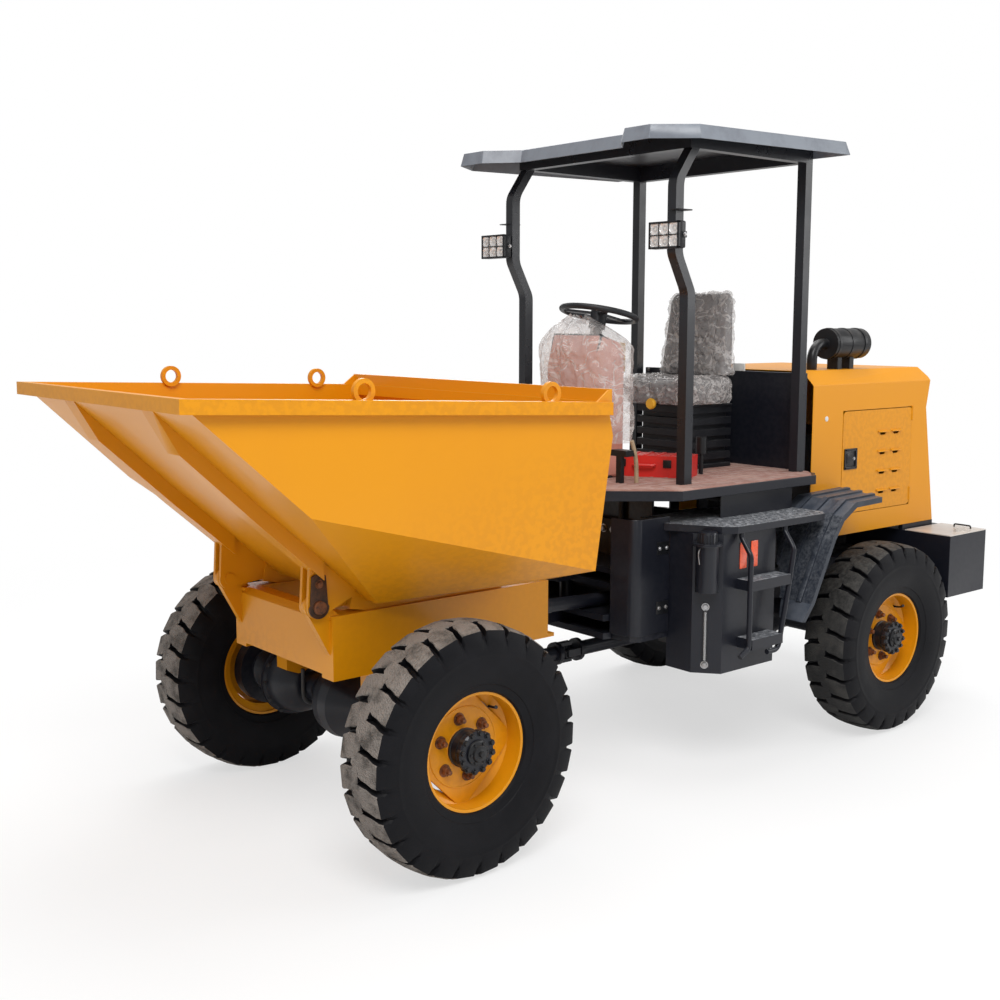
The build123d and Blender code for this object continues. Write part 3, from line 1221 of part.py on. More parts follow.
with BuildPart() as steering_wheel:
    with BuildSketch(wheel_axis.offset(-65 + SEAT_GAP)) as boss:
        Circle(36)
    extrude(boss.sketch, amount=75)
    with BuildSketch(Plane(origin=wheel_axis.origin, x_dir=wheel_axis.x_dir, z_dir=wheel_axis.y_dir)) as rim:
        with Locations((162, 0)):
            Circle(13)
    revolve(rim.sketch, axis=Axis(wheel_axis.origin, wheel_axis.z_dir))
    for angle in (90, 210, 330):
        direction = (cos(radians(angle)), sin(radians(angle)))
        with BuildSketch(wheel_axis.offset(-5)) as spoke:
            with Locations((direction[0] * 92, direction[1] * 92)):
                Rectangle(130, 30, rotation=angle)
        extrude(spoke.sketch, amount=10)
save(steering_wheel, "steering_wheel")

# ================================================================ small controls
with BuildPart() as hand_lever:
    rod_z(HINGE_X - 520, 300, 10, (DECK_Z + MAT_T + SEAT_GAP, DECK_Z + 110))
    rod_z(HINGE_X - 520, 300, 24, (DECK_Z + 100, DECK_Z + 172))
save(hand_lever, "hand_lever")

with BuildPart() as foot_pedals:
    for s in (1, -1):
        block((HINGE_X - 30, HINGE_X - 10), (s * 300 - 14, s * 300 + 14), (DECK_Z + MAT_T + SEAT_GAP, DECK_Z + 130))
        block((HINGE_X - 60, HINGE_X - 8), (s * 300 - 45, s * 300 + 45), (DECK_Z + 120, DECK_Z + 145))
save(foot_pedals, "foot_pedals")

CASE_SIZE = (400, 150, 92)
with BuildPart() as tool_case:
    with Locations(Location((HINGE_X - 317, 178, DECK_Z + MAT_T + SEAT_GAP), (0, 0, -60))):
        Box(*CASE_SIZE, align=(Align.CENTER, Align.CENTER, Align.MIN))
save(tool_case, "tool_case")
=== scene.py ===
"""Looks for the articulated site dumper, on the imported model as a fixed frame. Metres, +X forward, +Z up."""
import json
import math
import random

import bmesh
import bpy
from mathutils import Matrix, Vector, noise


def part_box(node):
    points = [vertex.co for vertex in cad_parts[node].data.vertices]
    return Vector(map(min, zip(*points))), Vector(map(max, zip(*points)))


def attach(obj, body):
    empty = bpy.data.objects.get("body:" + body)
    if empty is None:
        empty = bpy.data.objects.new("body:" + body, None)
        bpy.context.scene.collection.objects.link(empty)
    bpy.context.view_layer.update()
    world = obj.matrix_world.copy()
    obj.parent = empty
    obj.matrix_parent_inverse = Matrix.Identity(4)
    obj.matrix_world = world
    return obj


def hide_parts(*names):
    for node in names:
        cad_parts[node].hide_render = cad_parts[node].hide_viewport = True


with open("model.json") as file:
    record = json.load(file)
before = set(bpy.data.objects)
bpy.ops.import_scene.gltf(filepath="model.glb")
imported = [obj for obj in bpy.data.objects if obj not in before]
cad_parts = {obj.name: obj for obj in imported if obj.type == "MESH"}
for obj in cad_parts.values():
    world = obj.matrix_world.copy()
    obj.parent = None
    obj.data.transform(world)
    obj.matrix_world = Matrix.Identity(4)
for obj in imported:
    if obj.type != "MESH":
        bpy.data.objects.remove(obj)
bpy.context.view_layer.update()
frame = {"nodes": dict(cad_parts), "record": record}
random.seed(7)

WHEELS = ("front_left", "front_right", "rear_left", "rear_right")


def centre(node):
    low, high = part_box(node)
    return (Vector(low) + Vector(high)) / 2


FX = centre("tyre_front_left").x  # front axle
RX = centre("tyre_rear_left").x  # rear axle
HX = FX - 1.120  # hinge between the two halves


# ---------------------------------------------------------------- camera, light and stage
def aim(yaw, pitch, roll):
    """Rotation of a camera that looks along yaw and pitch, in degrees, turned by roll."""
    yaw, pitch, roll = (math.radians(a) for a in (yaw, pitch, roll))
    ahead = Vector((math.cos(pitch) * math.cos(yaw), math.cos(pitch) * math.sin(yaw), math.sin(pitch)))
    right = ahead.cross(Vector((0, 0, 1))).normalized()
    up = right.cross(ahead)
    across = right * math.cos(roll) + up * math.sin(roll)
    upward = up * math.cos(roll) - right * math.sin(roll)
    return Matrix((across, upward, -ahead)).transposed()


camera = bpy.data.objects.new("camera", bpy.data.cameras.new("camera"))
camera.data.lens = 45.4275
camera.data.sensor_width = 36
camera.data.shift_x = -0.01357
camera.data.shift_y = -0.01594
camera.data.clip_end = 200
camera.matrix_world = Matrix.Translation((FX + 2.541, 3.983, 1.867)) @ aim(-130.1315, -7.3002, 0.1755).to_4x4()
bpy.context.collection.objects.link(camera)
bpy.context.scene.camera = camera
bpy.context.scene.view_settings.view_transform = "Standard"


def lamp(name, place, target, size, power):
    light = bpy.data.lights.new(name, "AREA")
    light.shape = "DISK"
    light.size = size
    light.energy = power
    ob = bpy.data.objects.new(name, light)
    ob.location = place
    ob.rotation_euler = (Vector(target) - Vector(place)).to_track_quat("-Z", "Y").to_euler()
    bpy.context.collection.objects.link(ob)


lamp("key", (3.5, 4.5, 6.5), (0, 0, 0.8), 4.0, 400)
lamp("fill", (-5.5, 5.0, 3.5), (0, 0, 1.0), 4.0, 130)
lamp("top", (-1.0, -1.0, 7.5), (0, 0, 1.0), 6.0, 330)
lamp("back", (-4.0, -6.0, 4.0), (0, 0, 1.0), 4.0, 160)


def node_tree(owner):
    owner.use_nodes = True
    tree = owner.node_tree
    tree.nodes.clear()
    return tree


def add(tree, kind, **values):
    """A node with its properties, or its inputs by name or number, set."""
    node = tree.nodes.new(kind)
    for key, value in values.items():
        if hasattr(node, key):
            setattr(node, key, value)
        else:
            node.inputs[key.replace("_", " ")].default_value = value
    return node


world = bpy.data.worlds.new("studio")
bpy.context.scene.world = world
tree = node_tree(world)
soft = add(tree, "ShaderNodeBackground", Color=(1, 1, 1, 1), Strength=0.55)
white = add(tree, "ShaderNodeBackground", Color=(1, 1, 1, 1), Strength=1.0)
rays = add(tree, "ShaderNodeLightPath")
seen = add(tree, "ShaderNodeMath", operation="MAXIMUM")
tree.links.new(rays.outputs["Is Camera Ray"], seen.inputs[0])
tree.links.new(rays.outputs["Is Transmission Ray"], seen.inputs[1])
mix = add(tree, "ShaderNodeMixShader")
tree.links.new(seen.outputs[0], mix.inputs[0])
tree.links.new(soft.outputs[0], mix.inputs[1])
tree.links.new(white.outputs[0], mix.inputs[2])
tree.links.new(mix.outputs[0], add(tree, "ShaderNodeOutputWorld").inputs[0])

floor_mesh = bpy.data.meshes.new("floor")
floor_mesh.from_pydata([(-40, -40, 0), (40, -40, 0), (40, 40, 0), (-40, 40, 0)], [], [(0, 1, 2, 3)])
floor = bpy.data.objects.new("floor", floor_mesh)
bpy.context.collection.objects.link(floor)
pale = bpy.data.materials.new("pale_floor")
tree = node_tree(pale)
matt = add(tree, "ShaderNodeBsdfDiffuse", Color=(0.8, 0.8, 0.8, 1))
glow = add(tree, "ShaderNodeEmission", Color=(1, 1, 1, 1), Strength=1.0)
rays = add(tree, "ShaderNodeLightPath")
share = add(tree, "ShaderNodeMath", operation="MULTIPLY")
ground = add(tree, "ShaderNodeTexCoord")
reach = add(tree, "ShaderNodeVectorMath", operation="LENGTH")
tree.links.new(ground.outputs["Object"], reach.inputs[0])
whiten = add(tree, "ShaderNodeMapRange", interpolation_type="SMOOTHSTEP")
for number, value in ((1, 1.6), (2, 6.5), (3, 0.62), (4, 1.0)):
    whiten.inputs[number].default_value = value
tree.links.new(reach.outputs["Value"], whiten.inputs[0])
tree.links.new(whiten.outputs[0], share.inputs[1])
mix = add(tree, "ShaderNodeMixShader")
tree.links.new(rays.outputs["Is Camera Ray"], share.inputs[0])
tree.links.new(share.outputs[0], mix.inputs[0])
tree.links.new(matt.outputs[0], mix.inputs[1])
tree.links.new(glow.outputs[0], mix.inputs[2])
tree.links.new(mix.outputs[0], add(tree, "ShaderNodeOutputMaterial").inputs[0])
floor_mesh.materials.append(pale)


# ---------------------------------------------------------------- materials
def finish(name, colour, rough=0.4, metal=0.0, second=None, patch=3.0, amount=0.0, dust=None, dust_amount=0.0,
           bump=0.0, grain=60.0, coat=0.0, rough_swing=0.1, edge=None, edge_amount=0.0, streaks=False, gravel=False, deep=0.002, gloss=0.5):
    """A painted, moulded or rubber surface.

    colour drifts to second in patches; dust settles on what faces up; edge shows where the form turns;
    grain is the size of the bump, in ridges a metre, and gravel makes it of pebbles, deep metres high.
    """
    mat = bpy.data.materials.new(name)
    tree = node_tree(mat)
    link = tree.links.new
    place = add(tree, "ShaderNodeTexCoord").outputs["Object"]
    bsdf = add(tree, "ShaderNodeBsdfPrincipled", Metallic=metal, Coat_Weight=coat, Coat_Roughness=0.12,
               Specular_IOR_Level=gloss)
    out = add(tree, "ShaderNodeOutputMaterial")
    link(bsdf.outputs[0], out.inputs[0])
    if streaks:
        squash = add(tree, "ShaderNodeMapping")
        squash.inputs["Scale"].default_value = (1.0, 1.0, 0.18)
        link(place, squash.inputs[0])
        blotch_place = squash.outputs[0]
    else:
        blotch_place = place
    blotch = add(tree, "ShaderNodeTexNoise", Scale=patch, Detail=6.0, Roughness=0.62)
    link(blotch_place, blotch.inputs["Vector"])
    bsdf.inputs["Base Color"].default_value = tuple(colour) + (1,)
    current = None

    def blend(factor, tint):
        nonlocal current
        mixer = add(tree, "ShaderNodeMix", data_type="RGBA")
        link(factor, mixer.inputs[0])
        if current:
            link(current, mixer.inputs[6])
        else:
            mixer.inputs[6].default_value = tuple(colour) + (1,)
        mixer.inputs[7].default_value = tuple(tint) + (1,)
        current = mixer.outputs[2]

    def ramp(source, low, high, top):
        curve = add(tree, "ShaderNodeMapRange", interpolation_type="SMOOTHSTEP")
        link(source, curve.inputs[0])
        curve.inputs[1].default_value = low
        curve.inputs[2].default_value = high
        curve.inputs[3].default_value = 0.0
        curve.inputs[4].default_value = top
        return curve.outputs[0]

    if second and amount:
        blend(ramp(blotch.outputs[0], 0.42, 0.68, amount), second)
    if edge and edge_amount:
        form = add(tree, "ShaderNodeNewGeometry")
        speck = add(tree, "ShaderNodeTexNoise", Scale=45.0, Detail=4.0)
        link(place, speck.inputs["Vector"])
        total = add(tree, "ShaderNodeMath", operation="MULTIPLY")
        link(ramp(form.outputs["Pointiness"], 0.53, 0.62, edge_amount), total.inputs[0])
        link(ramp(speck.outputs[0], 0.4, 0.6, 1.0), total.inputs[1])
        blend(total.outputs[0], edge)
    if dust and dust_amount:
        form = add(tree, "ShaderNodeNewGeometry")
        split = add(tree, "ShaderNodeSeparateXYZ")
        link(form.outputs["Normal"], split.inputs[0])
        fine = add(tree, "ShaderNodeTexNoise", Scale=patch * 4.5, Detail=8.0, Roughness=0.7)
        link(place, fine.inputs["Vector"])
        total = add(tree, "ShaderNodeMath", operation="MULTIPLY")
        link(ramp(split.outputs[2], 0.15, 0.95, dust_amount), total.inputs[0])
        link(ramp(fine.outputs[0], 0.36, 0.66, 1.0), total.inputs[1])
        blend(total.outputs[0], dust)
    if current:
        link(current, bsdf.inputs["Base Color"])
    link(ramp(blotch.outputs[0], 0.3, 0.7, rough_swing), _offset(tree, bsdf, rough))
    if bump:
        if gravel:
            texture = add(tree, "ShaderNodeTexVoronoi", Scale=grain)
        else:
            texture = add(tree, "ShaderNodeTexNoise", Scale=grain, Detail=3.0)
        link(place, texture.inputs["Vector"])
        raised = add(tree, "ShaderNodeBump", Strength=bump, Distance=deep)
        link(texture.outputs[0], raised.inputs["Height"])
        link(raised.outputs[0], bsdf.inputs["Normal"])
    return mat


def _offset(tree, bsdf, base):
    """Input whose value is added to base and becomes the shader's roughness."""
    total = add(tree, "ShaderNodeMath", operation="ADD")
    total.inputs[1].default_value = base
    tree.links.new(total.outputs[0], bsdf.inputs["Roughness"])
    return total.inputs[0]


YELLOW = (0.66, 0.262, 0.002)
NAVY = (0.0065, 0.0075, 0.0125)
yellow = finish("yellow_paint", YELLOW, 0.36, second=(0.58, 0.205, 0.002), patch=0.9, amount=0.2, coat=0.12,
                gloss=0.3, dust=(0.62, 0.40, 0.12), dust_amount=0.04, bump=0.02, grain=350, rough_swing=0.05,
                edge=(0.34, 0.12, 0.01), edge_amount=0.2, streaks=True)
navy = finish("navy_paint", NAVY, 0.3, second=(0.011, 0.012, 0.018), patch=2.2, amount=0.5, coat=0.1, gloss=0.3,
              dust=(0.12, 0.125, 0.14), dust_amount=0.15, bump=0.06, grain=260, rough_swing=0.16,
              edge=(0.03, 0.03, 0.035), edge_amount=0.4)
black = finish("black_paint", (0.007, 0.0075, 0.009), 0.32, second=(0.013, 0.013, 0.015), patch=5, amount=0.5,
               dust=(0.12, 0.11, 0.10), dust_amount=0.3, bump=0.1, grain=300, gloss=0.35)
post_paint = finish("post_paint", (0.011, 0.012, 0.016), 0.25, second=(0.006, 0.007, 0.010), patch=4, amount=0.5,
                    bump=0.06, grain=260, gloss=0.4)
plastic = finish("black_plastic", (0.008, 0.009, 0.012), 0.42, second=(0.018, 0.019, 0.022), patch=6, amount=0.5,
                 dust=(0.16, 0.155, 0.15), dust_amount=0.3, bump=0.25, grain=700, gloss=0.35)
fender_plastic = finish("fender_plastic", (0.016, 0.021, 0.032), 0.4, second=(0.045, 0.052, 0.066), patch=16,
                        amount=0.75, dust=(0.30, 0.31, 0.33), dust_amount=0.6, bump=0.2, grain=500, gloss=0.4)
step_dust = finish("step_dust", (0.045, 0.05, 0.06), 0.5, second=(0.36, 0.37, 0.39), patch=48, amount=1.0,
                   dust=(0.30, 0.31, 0.33), dust_amount=0.5, bump=0.5, grain=300, gloss=0.4)
tyre_rubber = finish("tyre_rubber", (0.0035, 0.0036, 0.005), 0.5, second=(0.007, 0.007, 0.009), patch=9, amount=0.7,
                     dust=(0.05, 0.045, 0.04), dust_amount=0.12, bump=0.3, grain=260, gloss=0.14)
tread_rubber = finish("tread_rubber", (0.21, 0.185, 0.165), 0.75, second=(0.05, 0.045, 0.04), patch=14, amount=0.85,
                      dust=(0.25, 0.225, 0.20), dust_amount=0.35, bump=0.9, grain=150, gravel=True, deep=0.006,
                      gloss=0.25)
tread_clean = finish("tread_clean", (0.016, 0.0155, 0.0155), 0.62, second=(0.05, 0.047, 0.043), patch=11, amount=0.7,
                     dust=(0.11, 0.105, 0.095), dust_amount=0.55, bump=0.6, grain=170, gravel=True, deep=0.003,
                     gloss=0.3)
rusty = finish("rusty_nuts", (0.20, 0.065, 0.02), 0.5, metal=0.3, second=(0.05, 0.03, 0.02), patch=70, amount=0.9,
               bump=0.3, grain=500)
chrome = finish("rod_chrome", (0.62, 0.62, 0.64), 0.12, metal=1.0, bump=0.03, grain=200)
steel = finish("bright_steel", (0.42, 0.42, 0.43), 0.35, metal=1.0, second=(0.2, 0.17, 0.14), patch=30, amount=0.6,
               bump=0.2, grain=400)
iron = finish("engine_iron", (0.02, 0.02, 0.022), 0.6, second=(0.04, 0.036, 0.033), patch=12, amount=0.7, bump=0.5,
              grain=200)
mat_rubber = finish("mat_rubber", (0.30, 0.155, 0.125), 0.62, second=(0.46, 0.30, 0.25), patch=5, amount=0.85,
                    dust=(0.52, 0.40, 0.36), dust_amount=0.45, bump=0.5, grain=160, gloss=0.3)
pale_paint = finish("pale_lid", (0.56, 0.52, 0.48), 0.3, second=(0.46, 0.42, 0.38), patch=4, amount=0.8, coat=0.3,
                    dust=(0.5, 0.4, 0.3), dust_amount=0.3, bump=0.05, grain=200)
# the roof is one pale grey sheet, coloured in copies by the way its faces look: this near-black copy on its underside
# is painted shade, and its dust here is the pale grey again on any face that looks up
roof_paint = finish("roof_underside_painted_shade", (0.012, 0.013, 0.018), 0.3, second=(0.03, 0.032, 0.04), patch=3, amount=0.5,
                    dust=(0.36, 0.38, 0.41), dust_amount=0.95, bump=0.05, grain=150)
roof_top = finish("roof_top", (0.32, 0.36, 0.42), 0.3, second=(0.22, 0.25, 0.30), patch=3, amount=0.6, bump=0.05,
                  grain=150)
fender_top = finish("fender_top", (0.055, 0.065, 0.085), 0.38, second=(0.10, 0.11, 0.13), patch=14, amount=0.7,
                    bump=0.2, grain=500, gloss=0.45)
# the roof's sides: a darker copy of its pale grey, painted shade
roof_side_painted_shade = finish("roof_side_painted_shade", (0.17, 0.19, 0.22), 0.3, second=(0.11, 0.12, 0.145), patch=9, amount=0.6,
                   bump=0.05, grain=150)
vinyl = finish("seat_vinyl", (0.014, 0.017, 0.024), 0.4, second=(0.03, 0.032, 0.038), patch=9, amount=0.5,
               bump=0.35, grain=900)
red_plastic = finish("red_plastic", (0.60, 0.022, 0.018), 0.35, second=(0.42, 0.014, 0.012), patch=10, amount=0.6,
                     dust=(0.6, 0.40, 0.35), dust_amount=0.3, bump=0.1, grain=300)
salmon = finish("console_board", (0.56, 0.235, 0.175), 0.5, second=(0.44, 0.16, 0.12), patch=6, amount=0.8, bump=0.1,
                grain=200)
tan = finish("tan_bar", (0.36, 0.27, 0.17), 0.5, second=(0.22, 0.15, 0.09), patch=25, amount=0.8, bump=0.2, grain=400)
orange = finish("signal_orange", (0.80, 0.10, 0.03), 0.25, second=(0.62, 0.07, 0.02), patch=60, amount=0.8, coat=0.6)
bright_yellow = finish("bright_yellow", (0.80, 0.42, 0.02), 0.35, second=(0.66, 0.33, 0.02), patch=20, amount=0.5)


def clear_film(name, colour, alpha, rough, creases_and_highlight=0.0):
    """Thin milky film. The last argument makes it denser and whiter along its folds, which a ridged noise draws: partly
    film lying doubled in its creases, partly a painted highlight on them.
    """
    mat = bpy.data.materials.new(name)
    tree = node_tree(mat)
    bsdf = add(tree, "ShaderNodeBsdfPrincipled", Base_Color=(*colour, 1), Alpha=alpha, Roughness=rough)
    tree.links.new(bsdf.outputs[0], add(tree, "ShaderNodeOutputMaterial").inputs[0])
    if creases_and_highlight:
        place = add(tree, "ShaderNodeTexCoord")
        folds = add(tree, "ShaderNodeTexNoise", Scale=13.0, Detail=4.0, Distortion=0.8)
        tree.links.new(place.outputs["Object"], folds.inputs["Vector"])
        level = add(tree, "ShaderNodeMath", operation="SUBTRACT")
        level.inputs[1].default_value = 0.5
        tree.links.new(folds.outputs[0], level.inputs[0])
        ridge = add(tree, "ShaderNodeMath", operation="ABSOLUTE")
        tree.links.new(level.outputs[0], ridge.inputs[0])
        # alpha rises along the ridges: denser film where it doubles in its creases, and a painted highlight along them
        band = add(tree, "ShaderNodeMapRange", interpolation_type="SMOOTHSTEP")
        for number, value in ((1, 0.0), (2, 0.05), (3, alpha + creases_and_highlight), (4, alpha)):
            band.inputs[number].default_value = value
        tree.links.new(ridge.outputs[0], band.inputs[0])
        tree.links.new(band.outputs[0], bsdf.inputs["Alpha"])
        raised = add(tree, "ShaderNodeBump", Strength=0.8, Distance=0.02)
        tree.links.new(folds.outputs[0], raised.inputs["Height"])
        tree.links.new(raised.outputs[0], bsdf.inputs["Normal"])
    return mat


film = clear_film("packing_film", (0.60, 0.56, 0.54), 0.34, 0.12, 0.30)
lens = clear_film("lamp_lens", (0.86, 0.86, 0.86), 0.3, 0.05)
reflector = finish("lamp_reflector", (0.80, 0.80, 0.79), 0.2, metal=0.7, bump=0.05, grain=200)

BY_SLOT = {
    "tyre_rubber": tyre_rubber,
    "yellow_paint": yellow,
    "dark_metal": navy,
    "chrome": chrome,
    "cast_iron": iron,
    "navy_paint": navy,
    "black_metal": black,
    "rubber": mat_rubber,
    "pale_paint": pale_paint,
    "roof_paint": roof_paint,
    "lamp_plastic": black,
    "black_plastic": plastic,
    "fender_plastic": fender_plastic,
    "seat_vinyl": vinyl,
    "red_plastic": red_plastic,
}
LOOKS = {}
for sub in frame["record"]["subparts"]:
    LOOKS[sub["node"]] = BY_SLOT.get(sub["material_slot"], navy)
for node in ("front_posts", "rear_posts", "roof_frame"):
    LOOKS[node] = post_paint
for node, ob in frame["nodes"].items():
    ob.data.materials.clear()
    ob.data.materials.append(LOOKS[node])

# ---------------------------------------------------------------- mesh tools
# A shape is a pair: its points, and its faces as tuples of point numbers.
def bridge(rings, loop=True, caps=True, tail=False):
    """A skin over rings of equally many points. loop closes each ring, tail joins the last ring to the first."""
    width = len(rings[0])
    points = [Vector(p) for ring in rings for p in ring]
    faces = []
    for i in range(len(rings) if tail else len(rings) - 1):
        a = i * width
        b = (i + 1) % len(rings) * width
        for j in range(width if loop else width - 1):
            k = (j + 1) % width
            faces.append((a + j, a + k, b + k, b + j))
    if caps and not tail:
        faces.append(tuple(reversed(range(width))))
        faces.append(tuple(range(len(points) - width, len(points))))
    return points, faces


def moved(shape, matrix):
    return [matrix @ p for p in shape[0]], shape[1]


def soften(shape, width, segments=2, above=25):
    """The shape with its edges rounded where they turn by more than an angle."""
    bm = bmesh.new()
    corners = [bm.verts.new(p) for p in shape[0]]
    for face in shape[1]:
        bm.faces.new([corners[i] for i in face])
    bmesh.ops.recalc_face_normals(bm, faces=bm.faces)
    sharp = [e for e in bm.edges if len(e.link_faces) == 2 and e.calc_face_angle() > math.radians(above)]
    bmesh.ops.bevel(bm, geom=sharp, offset=width, segments=segments, profile=0.5, affect="EDGES",
                    clamp_overlap=True)
    bm.verts.index_update()
    result = [v.co.copy() for v in bm.verts], [tuple(v.index for v in f.verts) for f in bm.faces]
    bm.free()
    return result


def plate(outline, axis, span, soft=0.0015, segments=2):
    """An outline drawn across an axis, in its other two coordinates, and made solid over a span of that axis."""
    def at(p, d):
        return {"x": (d, p[0], p[1]), "y": (p[0], d, p[1]), "z": (p[0], p[1], d)}[axis]

    shape = bridge([[at(p, d) for p in outline] for d in span])
    return soften(shape, soft, segments) if soft else shape


def block(low, high, soft=0.002, segments=2):
    outline = [(low[0], low[1]), (high[0], low[1]), (high[0], high[1]), (low[0], high[1])]
    return plate(outline, "z", (low[2], high[2]), soft, segments)


def stand(place, direction=(0, 0, 1), spin=0.0):
    """Puts a shape that stands on the origin along +Z at a place, along a direction."""
    rotation = Vector(direction).to_track_quat("Z", "Y").to_matrix().to_4x4()
    return Matrix.Translation(place) @ rotation @ Matrix.Rotation(spin, 4, "Z")


def spun(profile, sides=32, loop=False):
    """A profile of (radius, height) points turned round +Z."""
    rings = []
    for k in range(sides):
        angle = math.tau * k / sides
        rings.append([(r * math.cos(angle), r * math.sin(angle), h) for r, h in profile])
    return bridge(rings, loop=loop, tail=True)


def rod(a, b, r, soft=0.0012, sides=20, end=None):
    """A round bar from a to b with its edges broken; end is its radius at b."""
    a, b = Vector(a), Vector(b)
    length = (b - a).length
    far = r if end is None else end
    profile = [(0, 0), (r - soft, 0), (r, soft), (far, length - soft), (far - soft, length), (0, length)]
    return moved(spun(profile, sides), stand(a, b - a))


def route(points, bend, steps=6):
    """The runs between the points with their corners rounded off, bend back from each corner."""
    points = [Vector(p) for p in points]
    path = [points[0]]
    for before, corner, after in zip(points, points[1:], points[2:]):
        back, on = before - corner, after - corner
        start = corner + back.normalized() * min(bend, back.length * 0.49)
        stop = corner + on.normalized() * min(bend, on.length * 0.49)
        for k in range(steps + 1):
            t = k / steps
            path.append(start * (1 - t) ** 2 + corner * 2 * t * (1 - t) + stop * t**2)
    path.append(points[-1])
    return path


def pipe(points, r, bend=0.03, sides=12, steps=6):
    """A round bar or tube bent along the points."""
    path = route(points, bend, steps)
    rings = []
    up = (path[1] - path[0]).orthogonal().normalized()
    for i, p in enumerate(path):
        ahead = (path[min(i + 1, len(path) - 1)] - path[max(i - 1, 0)]).normalized()
        up = (up - ahead * up.dot(ahead)).normalized()
        side = ahead.cross(up)
        angles = [math.tau * k / sides for k in range(sides)]
        rings.append([p + (up * math.cos(a) + side * math.sin(a)) * r for a in angles])
    return bridge(rings)


def bolt(r=0.009, h=0.007, washer=0.0016):
    """A hexagon head on its washer, on the origin along +Z; r is to its corners."""
    head = []
    for size, z in ((1.0, washer), (1.0, washer + h * 0.8), (0.88, washer + h)):
        head.append([(r * size * math.cos(a), r * size * math.sin(a), z) for a in
                     (math.tau * k / 6 for k in range(6))])
    points, faces = bridge(head)
    disc = spun([(0, 0), (r * 1.35, 0), (r * 1.35, washer), (0, washer)], 16)
    start = len(points)
    return points + disc[0], faces + [tuple(start + i for i in f) for f in disc[1]]


def bead(a, b, r, pitch=0.006):
    """A weld along a joint, its radius rising and falling with each drop."""
    a, b = Vector(a), Vector(b)
    ahead = (b - a).normalized()
    up = ahead.orthogonal().normalized()
    side = ahead.cross(up)
    count = max(int((b - a).length / pitch), 3)
    rings = []
    for k in range(2 * count + 1):
        swell = r * (1.0 if k % 2 else 0.82) * random.uniform(0.92, 1.08)
        centre_line = a + (b - a) * (k / (2 * count))
        rings.append([centre_line + (up * math.cos(t) + side * math.sin(t)) * swell for t in
                      (math.tau * j / 7 for j in range(7))])
    return bridge(rings)


class Build:
    """A piece in the making: its points, its faces and the material number of each face."""

    def __init__(self):
        self.points = []
        self.faces = []
        self.skins = []

    def put(self, shape, skin=0, matrix=None):
        points, faces = moved(shape, matrix) if matrix else shape
        start = len(self.points)
        self.points += points
        self.faces += [tuple(start + i for i in face) for face in faces]
        self.skins += [skin] * len(faces)
        return self


def piece(name, build, skins, body, angle=35, nodes=()):
    """Makes an object of a build, on a body, in place of some CAD nodes if it names any."""
    mesh = bpy.data.meshes.new(name)
    mesh.from_pydata(build.points, [], build.faces)
    for skin in skins:
        mesh.materials.append(skin)
    mesh.polygons.foreach_set("material_index", build.skins)
    bm = bmesh.new()
    bm.from_mesh(mesh)
    bmesh.ops.remove_doubles(bm, verts=bm.verts, dist=1e-6)
    bmesh.ops.recalc_face_normals(bm, faces=bm.faces)
    for face in bm.faces:
        face.smooth = True
    bm.to_mesh(mesh)
    bm.free()
    mesh.set_sharp_from_angle(angle=math.radians(angle))
    ob = bpy.data.objects.new(name, mesh)
    bpy.context.collection.objects.link(ob)
    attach(ob, body)
    if nodes:
        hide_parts(*nodes)
    return ob


def surface(node, start, direction, facing=False):
    """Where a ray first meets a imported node, with the face's normal if facing is set, or None."""
    ob = frame["nodes"][node]
    back = ob.matrix_world.inverted()
    hit, place, normal, _ = ob.ray_cast(back @ Vector(start), back.to_3x3() @ Vector(direction))
    if not hit:
        return None
    spot = ob.matrix_world @ place
    return (spot, (ob.matrix_world.to_3x3() @ normal).normalized()) if facing else spot


# ---------------------------------------------------------------- tyres
TYRE_R = (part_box("tyre_front_left")[1].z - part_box("tyre_front_left")[0].z) / 2
LUGS = 26  # on each side of the tread
# each lug from its inner tip to the ridge on the sidewall: distance from the tyre's middle, how far its top
# and its foot are inside the tyre's radius, lead of its middle in degrees, and half its width in degrees
LUG = (
    (-0.020, 0.000, 0.030, 3.4, 2.2),
    (0.008, 0.000, 0.030, 2.0, 4.9),
    (0.036, 0.001, 0.030, 0.9, 5.5),
    (0.060, 0.003, 0.031, 0.5, 5.6),
    (0.086, 0.007, 0.034, -0.9, 5.5),
    (0.103, 0.014, 0.040, -1.5, 5.4),
    (0.1125, 0.036, 0.050, -1.6, 5.2),
    (0.1170, 0.066, 0.076, -1.6, 5.1),
    (0.1185, 0.091, 0.096, -1.6, 5.1),
)
TREAD_ENDS = 5  # the spans of a lug, from its tip, that touch the ground
# half the carcass from the bead out: distance from the tyre's middle, and how far inside the tyre's radius
CARCASS = (
    (0.080, 0.229), (0.089, 0.224), (0.095, 0.208), (0.0985, 0.199), (0.1015, 0.197), (0.104, 0.190),
    (0.1095, 0.172), (0.1145, 0.150), (0.1175, 0.128), (0.1183, 0.112), (0.1183, 0.098), (0.1191, 0.095),
    (0.1191, 0.090), (0.1183, 0.087), (0.1165, 0.070), (0.110, 0.052), (0.099, 0.036), (0.080, 0.029),
    (0.040, 0.027), (0.0, 0.026),
)


